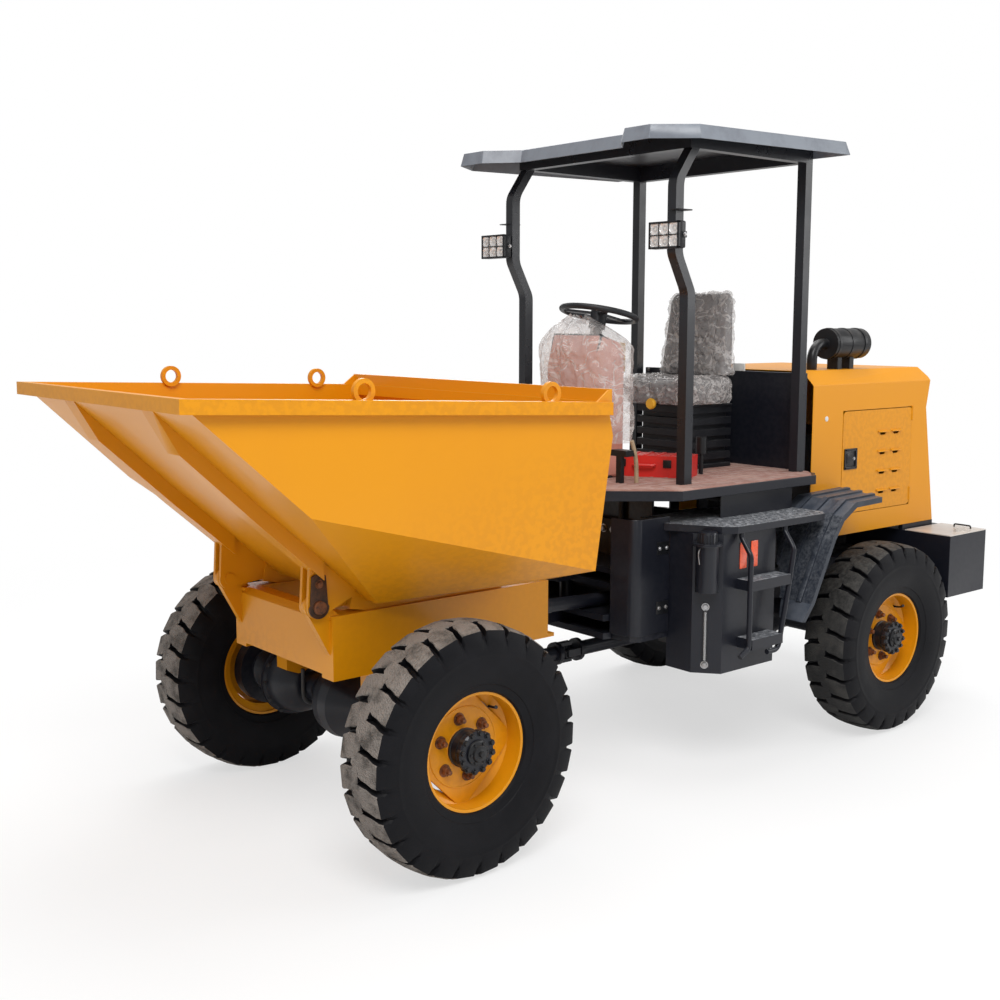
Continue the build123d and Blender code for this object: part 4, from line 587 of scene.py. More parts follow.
def tyre(name):
    node = "tyre_" + name
    middle = centre(node)
    out = math.copysign(1, middle.y)

    def at(u, inside, angle):
        r = TYRE_R - inside
        return middle + Vector((r * math.cos(angle), out * u, r * math.sin(angle)))

    build = Build()
    section = list(CARCASS) + [(-u, inside) for u, inside in reversed(CARCASS[:-1])]
    turns = 132
    rings = [[at(u, inside, math.tau * k / turns) for u, inside in section] for k in range(turns)]
    build.put(bridge(rings, tail=True), 0)
    for s in (1, -1):
        for k in range(LUGS):
            start = (k + 0.25 * s) / LUGS * 360 + random.uniform(-0.25, 0.25)
            rings = []
            for u, top, foot, lead, half in LUG:
                ends = []
                for spread, inside in ((-1.16, foot), (-1.0, top + 0.003), (-0.92, top), (0.92, top),
                                       (1.0, top + 0.003), (1.16, foot)):
                    ends.append(at(s * u, inside, math.radians(start + lead + spread * half)))
                rings.append(ends)
            points, faces = bridge(rings)
            build.put((points, faces), 0)
            for span in range(TREAD_ENDS):
                for j in (1, 2, 3):
                    build.skins[len(build.skins) - len(faces) + span * 6 + j] = 1
    top = tread_rubber if "front" in name else tread_clean
    piece(node + "_tread", build, [tyre_rubber, top], "wheel_" + name, 28, [node])


for name in WHEELS:
    tyre(name)


# ---------------------------------------------------------------- wheels and hubs
NUT_CIRCLE = 0.1025
DISC_OUT = 0.006  # face of the wheel disc, from the wheel's middle
DISC_HALF = 0.158  # half the side of its square
DISC_R = 0.197  # where its corners meet the rim
HUB_OUT = 0.085


def wheel_parts(name):
    middle = centre("tyre_" + name)
    out = math.copysign(1, middle.y)
    facing = (0, out, 0)

    def at(u, r, degrees):
        angle = math.radians(degrees)
        return middle + Vector((r * math.cos(angle), out * u, r * math.sin(angle)))

    nuts = Build()
    nut = bolt(0.0165, 0.017, 0.003)
    for k in range(6):
        angle = 60 * k + 20
        nuts.put(nut, 0, stand(at(DISC_OUT, NUT_CIRCLE, angle), facing, 0.3 * k))
        nuts.put(rod(at(DISC_OUT, NUT_CIRCLE, angle), at(DISC_OUT + 0.034, NUT_CIRCLE, angle), 0.0085), 0)
    piece("wheel_nuts_" + name, nuts, [rusty], "wheel_" + name)

    rim = Build()
    outer = ((0.087, 0.2335), (0.084, 0.2335), (0.081, 0.229), (0.077, 0.203), (0.006, 0.203), (-0.012, 0.173),
             (-0.052, 0.173), (-0.066, 0.203), (-0.077, 0.203), (-0.082, 0.229), (-0.087, 0.2335))
    inner = [(u, r - 0.0065) for u, r in reversed(outer)]
    rim.put(spun([(r, u) for u, r in (*outer, *inner)], 96, loop=True), 0, stand(at(0, 0, 0), facing))
    # disc: a square whose corners run out to the rim, with a hole for the hub
    edge = []
    for k in range(96):
        angle = math.tau * k / 96
        across = max(abs(math.cos(angle - math.pi / 4)), abs(math.sin(angle - math.pi / 4)))
        edge.append((min(DISC_R, DISC_HALF / across), math.degrees(angle)))
    spans = ((0.064, DISC_OUT - 0.011), (1, DISC_OUT - 0.012), (1, DISC_OUT - 0.001), (0.995, DISC_OUT),
             (0.064, DISC_OUT))
    rings = [[at(u, r * size if size > 0.5 else size, turn) for r, turn in edge] for size, u in spans]
    rim.put(bridge(rings, tail=True), 0)
    # lock ring and the rolled edges of the rim
    for u, r, thick in ((0.0845, 0.2295, 0.0038), (0.0745, 0.2105, 0.0034), (0.046, 0.2005, 0.003)):
        ring = [(r + thick * math.cos(t), thick * math.sin(t)) for t in (math.tau * j / 10 for j in range(10))]
        rim.put(spun(ring, 96, loop=True), 0, stand(at(u, 0, 0), facing))
    # raised ring and weld on the disc
    for r, thick in ((0.140, 0.0026), (0.0665, 0.003)):
        ring = [(r + thick * math.cos(t), thick * math.sin(t)) for t in (math.tau * j / 10 for j in range(10))]
        rim.put(spun(ring, 96, loop=True), 0, stand(at(DISC_OUT, 0, 0), facing))
    piece("rim_" + name, rim, [yellow], "wheel_" + name, 35, ["wheel_" + name])

    valve = Build()
    valve.put(pipe([at(-0.012, 0.170, 138), at(0.014, 0.172, 138), at(0.030, 0.172, 137), at(0.048, 0.168, 131)],
                   0.0045, 0.012, 10))
    valve.put(rod(at(0.046, 0.169, 132), at(0.060, 0.166, 127), 0.0062))
    piece("valve_" + name, valve, [plastic], "wheel_" + name)

    cap = Build()
    face = at(HUB_OUT, 0, 0)
    cap.put(spun([(0.0435, 0), (0.0435, 0.007), (0.040, 0.010), (0.030, 0.0115), (0.027, 0.019), (0.023, 0.021),
                  (0, 0.021)], 40), 0, stand(face, facing))
    for k in range(12):
        spot = at(HUB_OUT - 0.021, 0.0655, 30 * k + 10)
        cap.put(rod(spot, at(HUB_OUT + 0.0015, 0.0655, 30 * k + 10), 0.0115, 0.0015, 16), 0)
        cap.put(bolt(0.0085, 0.0065, 0.001), 0, stand(at(HUB_OUT + 0.0015, 0.0655, 30 * k + 10), facing, k))
    for k in range(6):
        cap.put(bolt(0.0052, 0.004, 0.001), 0, stand(at(HUB_OUT + 0.0105, 0.0345, 60 * k), facing, k))
    cap.put(bolt(0.010, 0.009, 0.001), 0, stand(at(HUB_OUT + 0.021, 0, 0), facing))
    for u in (0.016, 0.050):
        cap.put(spun([(0.0655, -0.006), (0.0685, -0.004), (0.0685, 0.004), (0.0655, 0.006)], 48), 0,
                stand(at(u, 0, 0), facing))
    piece("hub_cap_" + name, cap, [black], "wheel_" + name)


for name in WHEELS:
    wheel_parts(name)

# ---------------------------------------------------------------- softer edges on the plain plates
def round_edges(nodes, width):
    for node in nodes:
        ob = frame["nodes"][node]
        weld = ob.modifiers.new("weld", "WELD")
        weld.merge_threshold = 0.00002
        bevel = ob.modifiers.new("bevel", "BEVEL")
        bevel.width = width
        bevel.segments = 2
        bevel.limit_method = "ANGLE"
        bevel.angle_limit = math.radians(38)
        bevel.harden_normals = True


round_edges(("skip_frame", "front_chassis", "platform", "firewall", "tail_box", "step_plates", "hood", "seat_base",
             "hitch_tongue", "fenders", "fuel_tank", "hydraulic_tank", "muffler", "side_covers", "roof"), 0.0025)


# ---------------------------------------------------------------- work lamps
def work_lamps():
    low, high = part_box("work_lamps")
    front = high.x
    half_w, half_h, z = 0.080, 0.0525, (low.z + high.z) / 2
    lamps = Build()
    for s in (1, -1):
        y = s * (high.y - half_w)

        def at(x, across, up):
            return Vector((front + x, y + across, z + up))

        lamps.put(block(at(-0.044, -half_w, -half_h), at(-0.010, half_w, half_h), 0.006), 0)
        for across, up, wide, tall in ((0, half_h - 0.004, half_w, 0.004), (0, 0.004 - half_h, half_w, 0.004),
                                       (half_w - 0.004, 0, 0.004, half_h), (0.004 - half_w, 0, 0.004, half_h),
                                       (0, 0, half_w, 0.002), (-0.026, 0, 0.0015, half_h), (0.026, 0, 0.0015, half_h)):
            lamps.put(block(at(-0.012, across - wide, up - tall), at(0, across + wide, up + tall), 0.0012), 0)
        for k in range(9):
            across = (k - 4) * 0.0175
            lamps.put(block(at(-0.050, across - 0.002, 0.006 - half_h), at(-0.042, across + 0.002, half_h - 0.006),
                            0.001), 0)
        for across in (-0.0515, 0, 0.0515):
            for up in (-0.0255, 0.0255):
                cup = [(0.0245, 0.0095), (0.0235, 0.0095), (0.017, 0.004), (0.006, 0), (0, 0)]
                lamps.put(spun(cup, 24), 1, stand(at(-0.0125, across, up), (1, 0, 0)))
                lamps.put(rod(at(-0.012, across, up), at(-0.0085, across, up), 0.0055), 2)
        for t in (1, -1):
            ear = [(front - 0.046, z - 0.012), (front - 0.020, z - 0.012), (front - 0.020, z + 0.012),
                   (front - 0.046, z + 0.012)]
            lamps.put(plate(ear, "y", sorted((y + t * (half_w - 0.001), y + t * (half_w + 0.003)))), 0)
            lamps.put(bolt(0.006, 0.005), 3, stand((front - 0.033, y + t * (half_w + 0.003), z), (0, t, 0)))
        lamps.put(block((low.x, s * 0.484, z - 0.0175), (front - 0.046, s * 0.516, z + 0.0175)) if s > 0 else
                  block((low.x, s * 0.516, z - 0.0175), (front - 0.046, s * 0.484, z + 0.0175)), 0)
        # tab welded to the post above the lamp
        tab = sorted((s * 0.497, s * 0.552))
        lamps.put(block((-0.128, tab[0], z + 0.100), (-0.048, tab[1], z + 0.105)), 0)
    piece("work_lamps_detail", lamps, [black, reflector, lamp_chip, steel], "rear_unit", 30,
          ["work_lamps"])
    glass = Build()
    for s in (1, -1):
        y = s * (high.y - half_w)
        glass.put(block((front - 0.0045, y - half_w + 0.007, z - half_h + 0.007),
                        (front - 0.0025, y + half_w - 0.007, z + half_h - 0.007), 0.0008), 0)
    piece("lamp_lenses", glass, [lens], "rear_unit")


lamp_chip = finish("lamp_chip", (0.85, 0.83, 0.74), 0.4, second=(0.8, 0.74, 0.55), patch=90, amount=0.5)
work_lamps()


# ---------------------------------------------------------------- seat, console and their packing film
def tub_mesh(name, shape, voxel):
    """The shape remeshed in even cells, as a plain mesh object that isn't kept unless it is used."""
    mesh = bpy.data.meshes.new(name)
    mesh.from_pydata(shape[0], [], shape[1])
    ob = bpy.data.objects.new(name, mesh)
    bpy.context.collection.objects.link(ob)
    remesh = ob.modifiers.new("remesh", "REMESH")
    remesh.mode = "VOXEL"
    remesh.voxel_size = voxel
    return baked(ob)


def baked(ob):
    """The object with its modifiers worked into its mesh."""
    shown = ob.evaluated_get(bpy.context.evaluated_depsgraph_get())
    mesh = bpy.data.meshes.new_from_object(shown)
    ob.modifiers.clear()
    ob.data = mesh
    return ob


def puff(ob, cap, pressure=4.0):
    """Blows the pad up a little, as its foam does, by cloth under pressure; no point moves past cap."""
    start = [v.co.copy() for v in ob.data.vertices]
    cloth = ob.modifiers.new("cloth", "CLOTH")
    cloth.settings.use_pressure = True
    cloth.settings.uniform_pressure_force = pressure
    cloth.settings.effector_weights.gravity = 0
    scene = bpy.context.scene
    for number in range(1, 21):
        scene.frame_set(number)
    baked(ob)
    scene.frame_set(1)
    for v, was in zip(ob.data.vertices, start):
        move = v.co - was
        if move.length > cap:
            v.co = was + move * (cap / move.length)


def soft_pad(name, shape, skin, node, shape_by):
    """A padded piece: remeshed, blown up, its seams and channels pressed in by shape_by(point)."""
    ob = tub_mesh(name, shape, 0.007)
    puff(ob, 0.006)
    for v in ob.data.vertices:
        v.co += shape_by(v.co)
    fine = ob.modifiers.new("fine", "SUBSURF")
    fine.levels = 1
    fine.render_levels = 1
    baked(ob)
    ob.data.materials.clear()
    ob.data.materials.append(skin)
    for polygon in ob.data.polygons:
        polygon.use_smooth = True
    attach(ob, "rear_unit")
    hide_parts(node)
    return ob


cushion_low, cushion_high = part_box("seat_cushion")
back_low, back_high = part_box("seat_back")


def groove(distance, width, depth):
    return depth * math.exp(-((distance / width) ** 2))


def cushion_form(p):
    """The middle dishes down between the side bolsters, with three seams pressed in across it and a channel along each
    side.
    """
    top = max(0.0, min(1.0, (p.z - cushion_low.z - 0.05) / 0.05))
    drop = 0.014 * top * max(0.0, 1 - (abs(p.y) / 0.13) ** 2)
    for x in (-0.74, -0.66, -0.58):
        if abs(p.y) < 0.14:
            drop += groove(p.x - x, 0.006, 0.007) * top
    drop += groove(abs(p.y) - 0.145, 0.006, 0.009) * top
    return Vector((0, 0, -drop))


def back_form(p):
    """A dished middle with bolsters at the sides and three seams across it."""
    front = max(0.0, min(1.0, (p.x - (back_low.x + back_high.x) / 2 + 0.02) / 0.03))
    push = 0.014 * front * max(0.0, 1 - (abs(p.y) / 0.11) ** 2)
    for z in (1.72, 1.80, 1.88):
        if abs(p.y) < 0.125:
            push += groove(p.z - z, 0.006, 0.007) * front
    push += groove(abs(p.y) - 0.128, 0.006, 0.009) * front
    return Vector((-push, 0, 0))


SHRINK = 0.006  # the pads swell by about this much
cushion_plan = [(cushion_low.x + SHRINK, 0.16), (cushion_low.x + 0.03, 0.205), (-0.70, 0.219 - SHRINK / 2),
                (-0.56, 0.219 - SHRINK / 2), (cushion_high.x - 0.02, 0.180), (cushion_high.x - SHRINK, 0.11)]
cushion_plan += [(x, -y) for x, y in reversed(cushion_plan)]
cushion = soft_pad(
    "seat_cushion_pad",
    plate(cushion_plan, "z", (cushion_low.z + 0.002, cushion_high.z - SHRINK), 0.026, 4), vinyl, "seat_cushion",
    cushion_form)
back_side = [(-0.745 - SHRINK, back_low.z + 0.004), (-0.786 - SHRINK, back_high.z - 0.040),
             (-0.806 - SHRINK, back_high.z - 0.004), (-0.830, back_high.z - 0.004),
             (-0.848 + SHRINK, back_high.z - 0.040), (-0.824 + SHRINK, back_low.z + 0.004)]
back_shape = plate(back_side, "y", (-0.199, 0.199), 0.018, 3)
# the back narrows to its top
back_shape = ([Vector((p.x, p.y * (1 - 0.16 * max(0.0, (p.z - 1.80) / 0.21) ** 2), p.z)) for p in back_shape[0]],
              back_shape[1])
back = soft_pad("seat_back_pad", back_shape, vinyl, "seat_back", back_form)


def crumple(p, size, seed):
    """Height of a sharp fold at a point, from 0 to 1: creases meet like those of crushed film."""
    q = p * (1 / size) + Vector((seed, seed * 0.7, seed * 1.3))
    fold = 1 - abs(noise.noise(q + noise.noise_vector(q * 0.6) * 0.9)) * 2.4
    fine = 1 - abs(noise.noise(q * 2.7 + Vector((5, 1, 9)))) * 2.4
    return max(0.0, fold) * 0.7 + max(0.0, fine) * 0.3


def wrap(name, source, offset, depth, size, seed, keep):
    """Film that lies over a pad in creases: source's mesh stood off by offset and its folds, where keep(p) is true."""
    mesh = source.data.copy()
    ob = bpy.data.objects.new(name, mesh)
    bpy.context.collection.objects.link(ob)
    normals = [v.normal.copy() for v in mesh.vertices]
    for v, normal in zip(mesh.vertices, normals):
        v.co += normal * (offset + depth * crumple(v.co, size, seed))
    bm = bmesh.new()
    bm.from_mesh(mesh)
    gone = [f for f in bm.faces if not keep(f.calc_center_median())]
    bmesh.ops.delete(bm, geom=gone, context="FACES")
    bm.to_mesh(mesh)
    bm.free()
    mesh.materials.clear()
    mesh.materials.append(film)
    for polygon in mesh.polygons:
        polygon.use_smooth = True
    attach(ob, "rear_unit")
    return ob


wrap("seat_cushion_film", cushion, 0.004, 0.013, 0.055, 3.0, lambda p: p.z > cushion_low.z + 0.004)
wrap("seat_back_film", back, 0.004, 0.013, 0.060, 8.0, lambda p: p.z > back_low.z + 0.01)


def console():
    low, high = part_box("steering_console")
    face = low.x - 0.0015
    board = Build()
    side = [(high.x + 0.0015, low.z + 0.002), (high.x + 0.0015, 1.680), (high.x - 0.038, 1.8215),
            (low.x + 0.019, 1.7815), (face, 1.741), (face, low.z + 0.002)]
    side = [(x, z) for x, z in side]
    board.put(plate(side, "y", (low.y - 0.0015, high.y + 0.0015), 0.016, 4), 0)
    return piece("console_board", board, [salmon], "rear_unit")


board = console()


def console_film():
    """A bag of film pulled down over the console and gathered round the steering column."""
    middle = Vector((-0.078, 0.0))
    levels = 64
    around = 220
    rings = []
    for i in range(levels + 1):
        t = i / levels
        z = 1.36 + 0.535 * t
        # full round the console, closing over its top to a ragged neck
        close = max(0.0, (t - 0.74) / 0.26)
        size = 1 - 0.80 * close**1.6
        ring = []
        for k in range(around):
            angle = math.tau * k / around
            c, s = math.cos(angle), math.sin(angle)
            box_r = 1 / (abs(c / 0.118) ** 3.2 + abs(s / 0.185) ** 3.2) ** (1 / 3.2)
            p = Vector((c, s, z * 1.4))
            fold = crumple(Vector((c * 0.16, s * 0.2, z * 0.55)), 0.06, 21.0)
            swell = 0.010 + 0.030 * max(0.0, noise.noise(p * 1.7 + Vector((4, 4, 4))) + 0.25)
            lobes = 0.012 * math.sin(7 * angle + 3 * noise.noise(p)) * (0.3 + close)
            r = (box_r + swell + 0.016 * fold + lobes) * size
            lift = 0.028 * noise.noise(Vector((c * 2, s * 2, 3.3))) * close
            ring.append((middle.x + r * c - 0.015 * close, middle.y + r * s - 0.055 * close, z + lift))
        rings.append(ring)
    build = Build().put(bridge(rings, caps=False))
    ob = piece("console_film", build, [film], "rear_unit", angle=180)


console_film()

# ---------------------------------------------------------------- paint by the way a face looks
def skin_faces(node, skin, wanted):
    """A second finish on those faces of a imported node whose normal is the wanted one."""
    ob = frame["nodes"][node]
    ob.data.materials.append(skin)
    number = len(ob.data.materials) - 1
    for polygon in ob.data.polygons:
        if wanted(polygon.normal):
            polygon.material_index = number


# the roof's top keeps its pale grey; its sides and underside take darker copies of it, painted shade
skin_faces("roof", roof_top, lambda n: n.z > 0.9)
skin_faces("roof", roof_side_painted_shade, lambda n: -0.3 < n.z <= 0.9)
for node in ("step_plates", "access_steps"):
    skin_faces(node, step_dust, lambda n: n.z > 0.9)
skin_faces("fenders", fender_top, lambda n: n.z > 0.6)


# ---------------------------------------------------------------- hood: latches, louvres, hinges, marker
HINGE_GAP = 0.0006  # the door's edge stands this far from its hinge line


def hood_details():
    low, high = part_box("hood_door_left")
    face = high.y
    for s, side in ((1, "left"), (-1, "right")):
        door = Build()
        x, z = high.x - 0.062, 1.235
        y = sorted((s * face, s * (face + 0.006)))
        for up, wide, tall in ((0.043, 0.048, 0.006), (-0.043, 0.048, 0.006)):
            door.put(block((x - wide, y[0], z + up - tall), (x + wide, y[1], z + up + tall), 0.0015), 0)
        for along in (0.043, -0.043):
            door.put(block((x + along - 0.006, y[0], z - 0.048), (x + along + 0.006, y[1], z + 0.048), 0.0015), 0)
        back = sorted((s * face, s * (face + 0.0015)))
        door.put(block((x - 0.038, back[0], z - 0.038), (x + 0.038, back[1], z + 0.038), 0.0005), 0)
        paddle = sorted((s * face, s * (face + 0.004)))
        door.put(block((x - 0.020, paddle[0], z - 0.022), (x + 0.030, paddle[1], z + 0.026), 0.0015), 0)
        door.put(bolt(0.006, 0.003), 1, stand((x - 0.029, s * (face + 0.001), z), (0, s, 0)))
        for place in (-1.59, -1.70):
            for up in (1.06, 1.155, 1.25, 1.345):
                hoodlet = [(s * (face - 0.001), up + 0.014), (s * (face + 0.011), up + 0.006),
                           (s * (face + 0.011), up + 0.003), (s * (face - 0.001), up + 0.009)]
                door.put(plate(hoodlet, "x", (place - 0.042, place + 0.042), 0.001), 2)
        for up in (1.03, 1.43):
            pin_x = low.x - HINGE_GAP
            door.put(rod((pin_x, s * face, up - 0.035), (pin_x, s * face, up + 0.035), 0.0065), 2)
        piece("hood_door_fittings_" + side, door, [black, steel, yellow], "door_" + side)
    marker = Build()
    for s in (1, -1):
        marker.put(spun([(0, 0), (0.012, 0), (0.012, 0.0015), (0.009, 0.003), (0, 0.003)], 24), 0,
                   stand((-1.136, s * 0.489, 1.432), (0, s, 0)))
        for k in range(5):
            marker.put(bolt(0.007, 0.005), 1, stand((-0.9555, s * 0.466, 1.255 + 0.095 * k), (1, 0, 0)))
    piece("hood_marks", marker, [white_cap, steel], "rear_unit")


white_cap = finish("white_cap", (0.62, 0.62, 0.60), 0.4, second=(0.5, 0.5, 0.48), patch=60, amount=0.5)
hood_details()


# ---------------------------------------------------------------- tank: reflectors, level gauge, cap; cover hinges
def upright(place, out):
    """Lays a shape drawn in x and y on an upright face that looks out, its y upwards."""
    up = Vector((0, 0, 1))
    turn = Matrix((up.cross(out), up, out)).transposed().to_4x4()
    return Matrix.Translation(place) @ turn


def tank_details():
    low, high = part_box("fuel_tank")
    tank = Build()
    for x in (-0.287, -0.3565):
        wall = surface("fuel_tank", (x, high.y + 0.3, 0.93), (0, -1, 0)).y
        tank.put(block((x - 0.021, wall - 0.001, 0.876), (x + 0.021, wall + 0.004, 0.984), 0.003), 0)
    neck = Vector((-0.100, 0.692, high.z - 0.054))
    ribs = 18
    for k in range(ribs):
        angle = math.tau * k / ribs
        at = neck + Vector((0.0375 * math.cos(angle), 0.0375 * math.sin(angle), 0.008))
        tank.put(rod(at, at + Vector((0, 0, 0.040)), 0.0028, 0.0008, 8), 1)
    tank.put(pipe([neck + Vector((0.030, 0, 0.004)), neck + Vector((0.060, 0.004, -0.02)),
                   neck + Vector((0.055, 0.008, -0.07))], 0.0022, 0.02, 8), 2)
    # the level gauge stands on the front chamfer: a dark strip with a tube, between two bright bolts
    spot, out = surface("fuel_tank", (high.x + 0.3, high.y + 0.3, 0.61), (-1, -1, 0), facing=True)
    up = Vector((0, 0, 1))
    for height in (-0.12, 0.12):
        tank.put(bolt(0.012, 0.009), 2, stand(spot + up * height, out))
    strip = [(-0.011, -0.105), (0.011, -0.105), (0.011, 0.105), (-0.011, 0.105)]
    tank.put(plate(strip, "z", (-0.001, 0.004), 0.001), 1, upright(spot, out))
    tank.put(rod(spot + out * 0.006 - up * 0.10, spot + out * 0.006 + up * 0.10, 0.005), 3)
    piece("tank_fittings", tank, [orange, plastic, steel, lens], "rear_unit")
    cover = Build()
    low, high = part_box("side_covers")
    for s in (1, -1):
        for x, z in ((-0.047, 0.957), (-0.047, 0.710)):
            cover.put(block((x - 0.035, min(s * high.y, s * (high.y + 0.003)), z - 0.026),
                            (x + 0.035, max(s * high.y, s * (high.y + 0.003)), z + 0.026), 0.001), 0)
            for t in (-0.02, 0.02):
                cover.put(bolt(0.007, 0.005), 1, stand((x + t, s * (high.y + 0.003), z), (0, s, 0)))
    piece("cover_hinges", cover, [black, steel], "rear_unit")


tank_details()


# ---------------------------------------------------------------- cab floor: knob, control box, strip, lever, case
CASE_LONG, CASE_WIDE = 0.400, 0.150  # the tool case in plan
CASE_TURN = math.radians(-60)


def cab_details():
    cab = Build()
    knob = [(0, 0), (0.010, 0), (0.012, 0.010), (0.024, 0.014), (0.026, 0.024), (0.022, 0.032), (0, 0.034)]
    cab.put(spun(knob, 28), 0, stand((-0.477, 0.03, 1.505), (1, 0, 0)))
    cab.put(rod((-0.520, 0.03, 1.505), (-0.472, 0.03, 1.505), 0.007), 1)
    cab.put(block((-0.555, -0.262, 1.635), (-0.490, -0.232, 1.775), 0.006), 0)
    arm = [(-0.62, -0.195, 1.55), (-0.60, -0.247, 1.55), (-0.56, -0.247, 1.57), (-0.525, -0.247, 1.64)]
    cab.put(pipe(arm, 0.009, 0.03), 1)
    cab.put(block((-0.957, 0.080, 1.645), (-0.950, 0.154, 1.680), 0.001), 2)
    # the tool case lies turned on the mat: ribs on its lid, two latches and a handle on its long side
    low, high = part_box("tool_case")
    case = Matrix.Translation(((low.x + high.x) / 2, (low.y + high.y) / 2, high.z)) @ Matrix.Rotation(CASE_TURN, 4, "Z")
    half_long, half_wide = CASE_LONG / 2, CASE_WIDE / 2
    for k in range(7):
        x = CASE_LONG * ((k + 0.5) / 7 - 0.5)
        cab.put(block((x - 0.008, 0.012 - half_wide, -0.001), (x + 0.008, half_wide - 0.012, 0.004), 0.0015), 3, case)
    for x in (-half_long / 2, half_long / 2):
        cab.put(block((x - 0.018, half_wide - 0.001, -0.050), (x + 0.018, half_wide + 0.006, -0.016), 0.002), 1, case)
    grip = [(-0.045, half_wide - 0.002, -0.040), (-0.045, half_wide + 0.022, -0.040),
            (0.045, half_wide + 0.022, -0.040), (0.045, half_wide - 0.002, -0.040)]
    cab.put(pipe(grip, 0.0065, 0.014), 3, case)
    lever = [(-0.051, 0.341, 1.207), (-0.048, 0.341, 1.31), (-0.020, 0.341, 1.385)]
    cab.put(pipe(lever, 0.009, 0.05), 4)
    piece("cab_fittings", cab, [bright_yellow, black, white_cap, red_plastic, tan], "rear_unit")
    low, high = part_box("tail_lid_left")
    for s, side in ((1, "left"), (-1, "right")):
        lid = Build()
        x, y = low.x + 0.055, s * 0.655
        top = surface("tail_lid_" + side, (x, y, high.z + 0.2), (0, 0, -1)).z
        grip = [(x, y + across, top + up) for across, up in ((-0.045, -0.002), (-0.045, 0.014), (0.045, 0.014),
                                                            (0.045, -0.002))]
        lid.put(pipe(grip, 0.004, 0.010), 0)
        piece("lid_handle_" + side, lid, [black], "lid_" + side)


cab_details()


# ---------------------------------------------------------------- under the deck: valve block and rigid pipes
def deck_pipes():
    pipes = Build()
    pipes.put(block((-0.30, -0.16, 0.86), (-0.14, 0.16, 1.02), 0.006), 0)
    for x in (-0.275, -0.165):
        for y in (-0.14, 0.14):
            deck = surface("platform", (x, y, 0.6), (0, 0, 1)).z
            pipes.put(rod((x, y, 1.01), (x, y, deck + 0.002), 0.012), 0)
    for k in range(5):
        y = -0.12 + 0.06 * k
        pipes.put(bolt(0.014, 0.012), 1, stand((-0.14, y, 0.975), (1, 0, 0)))
        pipes.put(rod((-0.22, y, 1.019), (-0.22, y, 1.050), 0.010), 0)
    # balance pipes between the two tanks
    for x in (-0.470, -0.415):
        pipes.put(rod((x, -0.489, 1.016), (x, 0.489, 1.016), 0.023), 0)
    piece("valve_block", pipes, [iron, steel], "rear_unit")


deck_pipes()


# ---------------------------------------------------------------- muffler bands
def muffler_bands():
    low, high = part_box("muffler")
    bands = Build()
    y = (low.y + high.y) / 2
    r = (high.y - low.y) / 2
    z = high.z - r
    for x in (-1.51, -1.41, -1.31):
        hoop = [(r + 0.0005, -0.008), (r + 0.0025, -0.008), (r + 0.0025, 0.008), (r + 0.0005, 0.008)]
        bands.put(spun(hoop, 40, loop=True), 0, stand((x, y, z), (1, 0, 0)))
        bands.put(bolt(0.007, 0.006), 1, stand((x, y - r - 0.001, z), (0, -1, 0)))
    piece("muffler_bands", bands, [black, steel], "rear_unit")


muffler_bands()
# ---------------------------------------------------------------- skip pivots, axle drums
def pivot_plates():
    """A keeper plate, shaped as a drop, locks each skip pin; a bolt holds it to the ear."""
    pins = Build()
    for s in (1, -1):
        for node in ("front_chassis", "skip_frame"):
            spot = surface(node, (1.486, s * 0.6, 0.905), (0, -s, 0))
            if spot and abs(spot.y) > 0.30:
                break
        face = abs(spot.y)
        drop = []
        for k in range(24):
            angle = math.tau * k / 24
            r = 0.040 if math.sin(angle) < 0 else 0.040 - 0.016 * math.sin(angle)
            drop.append((1.486 + r * math.cos(angle), 0.905 + (0.092 if math.sin(angle) > 0.3 else 0.0)
                         + r * math.sin(angle)))
        pins.put(plate(drop, "y", sorted((s * (face - 0.001), s * (face + 0.005))), 0.001), 0)
        pins.put(spun([(0, 0), (0.024, 0), (0.024, 0.009), (0.021, 0.012), (0, 0.012)], 30), 1,
                 stand((1.486, s * (face + 0.004), 0.905), (0, s, 0)))
        pins.put(bolt(0.0115, 0.009), 1, stand((1.486, s * (face + 0.005), 0.985), (0, s, 0)))
    return piece("pivot_keepers", pins, [keeper_brown, rusty], "front_unit")


keeper_brown = finish("keeper_brown", (0.075, 0.030, 0.012), 0.42, metal=0.3, second=(0.02, 0.014, 0.010), patch=50,
                      amount=0.8, bump=0.3, grain=400)
pivot_plates()


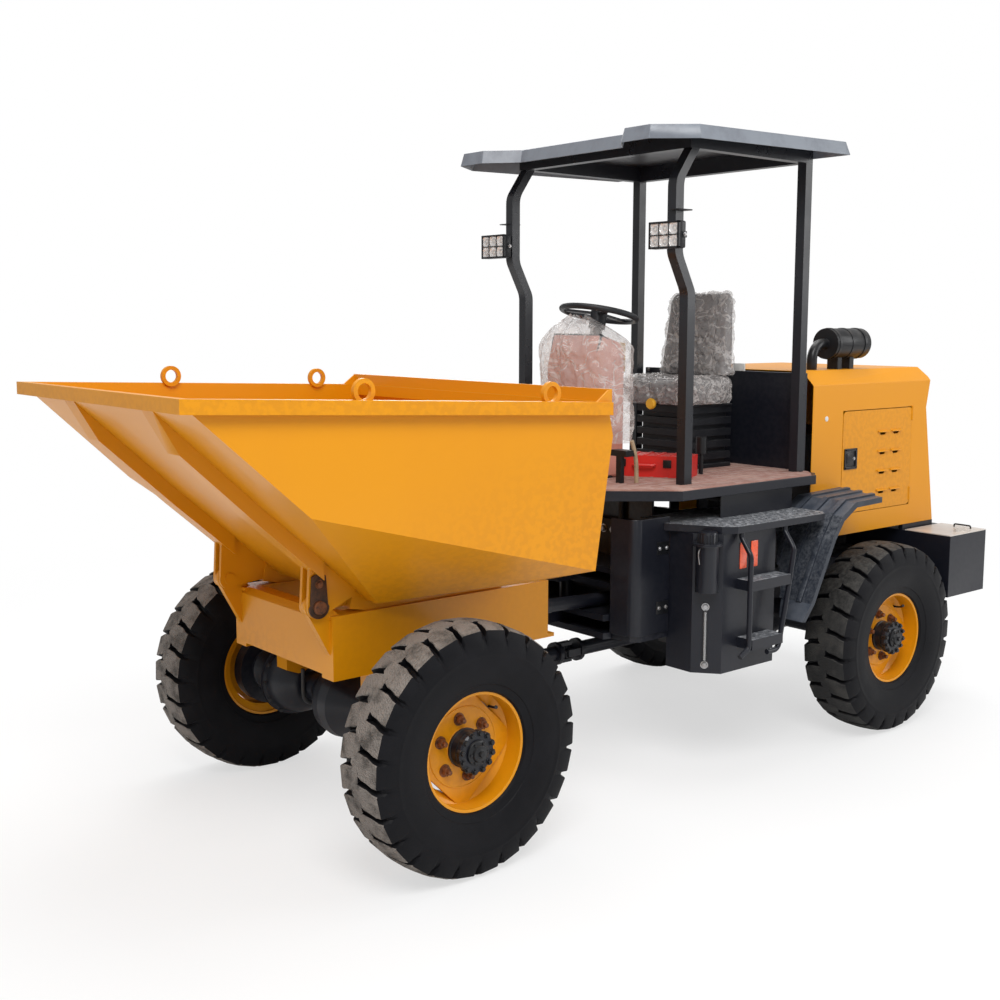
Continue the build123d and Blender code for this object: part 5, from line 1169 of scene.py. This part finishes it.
def axle_drums():
    """The brake housings inside the front wheels, with their flanges, flange bolts and a bent clamp."""
    drums = Build()
    z = centre("tyre_front_left").z
    dome = [(0, 0.26), (0.070, 0.26), (0.092, 0.272), (0.118, 0.305), (0.134, 0.350), (0.138, 0.395), (0.150, 0.400),
            (0.150, 0.418), (0.128, 0.424), (0, 0.424)]
    for s in (1, -1):
        drums.put(spun([(r, h) for r, h in dome], 48), 0, stand((FX, 0, z), (0, s, 0)))
        for k in range(12):
            angle = math.tau * k / 12
            spot = Vector((FX + 0.142 * math.cos(angle), s * 0.399, z + 0.142 * math.sin(angle)))
            drums.put(bolt(0.008, 0.006), 1, stand(spot, (0, -s, 0)))
        clamp = [(FX - 0.064, 0.08), (FX - 0.064, -0.064), (FX + 0.064, -0.064), (FX + 0.064, 0.08)]
        drums.put(pipe([(x, s * 0.235, z + up) for x, up in clamp], 0.008, 0.05), 1)
    piece("front_axle_drums", drums, [navy, iron], "front_unit")


axle_drums()


# ---------------------------------------------------------------- floor mat: rows of low ribs
def mat_edge():
    """Rows of low ribs along the mat."""
    low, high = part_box("floor_mat")
    ribs = Build()
    count = 22
    for k in range(count):
        y = low.y + (high.y - low.y) * (k + 0.5) / count
        if abs(y) > high.y - 0.03:
            continue
        start, stop = -0.90, 0.02 - 0.25 * max(0.0, abs(y) - 0.35)
        ribs.put(block((start, y - 0.0035, high.z - 0.001), (stop, y + 0.0035, high.z + 0.002), 0.0008), 0)
    piece("mat_ribs", ribs, [mat_rubber], "rear_unit")


mat_edge()


# ---------------------------------------------------------------- step pads: rows of raised lozenges
def step_pads():
    pads = Build()
    for s in (1, -1):
        for x0, x1, y0, y1, z in ((-0.800, -0.070, 0.515, 0.745, 1.060), (-0.490, -0.262, 0.728, 0.792, 0.838),
                                  (-0.450, -0.272, 0.728, 0.792, 0.595)):
            across = int((y1 - y0) / 0.034)
            along = int((x1 - x0) / 0.034)
            for i in range(along):
                for j in range(across):
                    x = x0 + (x1 - x0) * (i + 0.5) / along
                    y = s * (y0 + (y1 - y0) * (j + 0.5) / across)
                    spot = surface("step_plates", (x, y, z + 0.05), (0, 0, -1))
                    if z > 1 and (spot is None or abs(spot.z - z) > 0.002):
                        continue
                    turn = 0.785 if (i + j) % 2 else -0.785
                    pad = plate([(-0.013, 0), (0, -0.0035), (0.013, 0), (0, 0.0035)], "z", (-0.001, 0.0018), 0)
                    pads.put(pad, 0, stand((x, y, z), (0, 0, 1), turn))
    piece("step_lozenges", pads, [step_dust], "rear_unit")


step_pads()
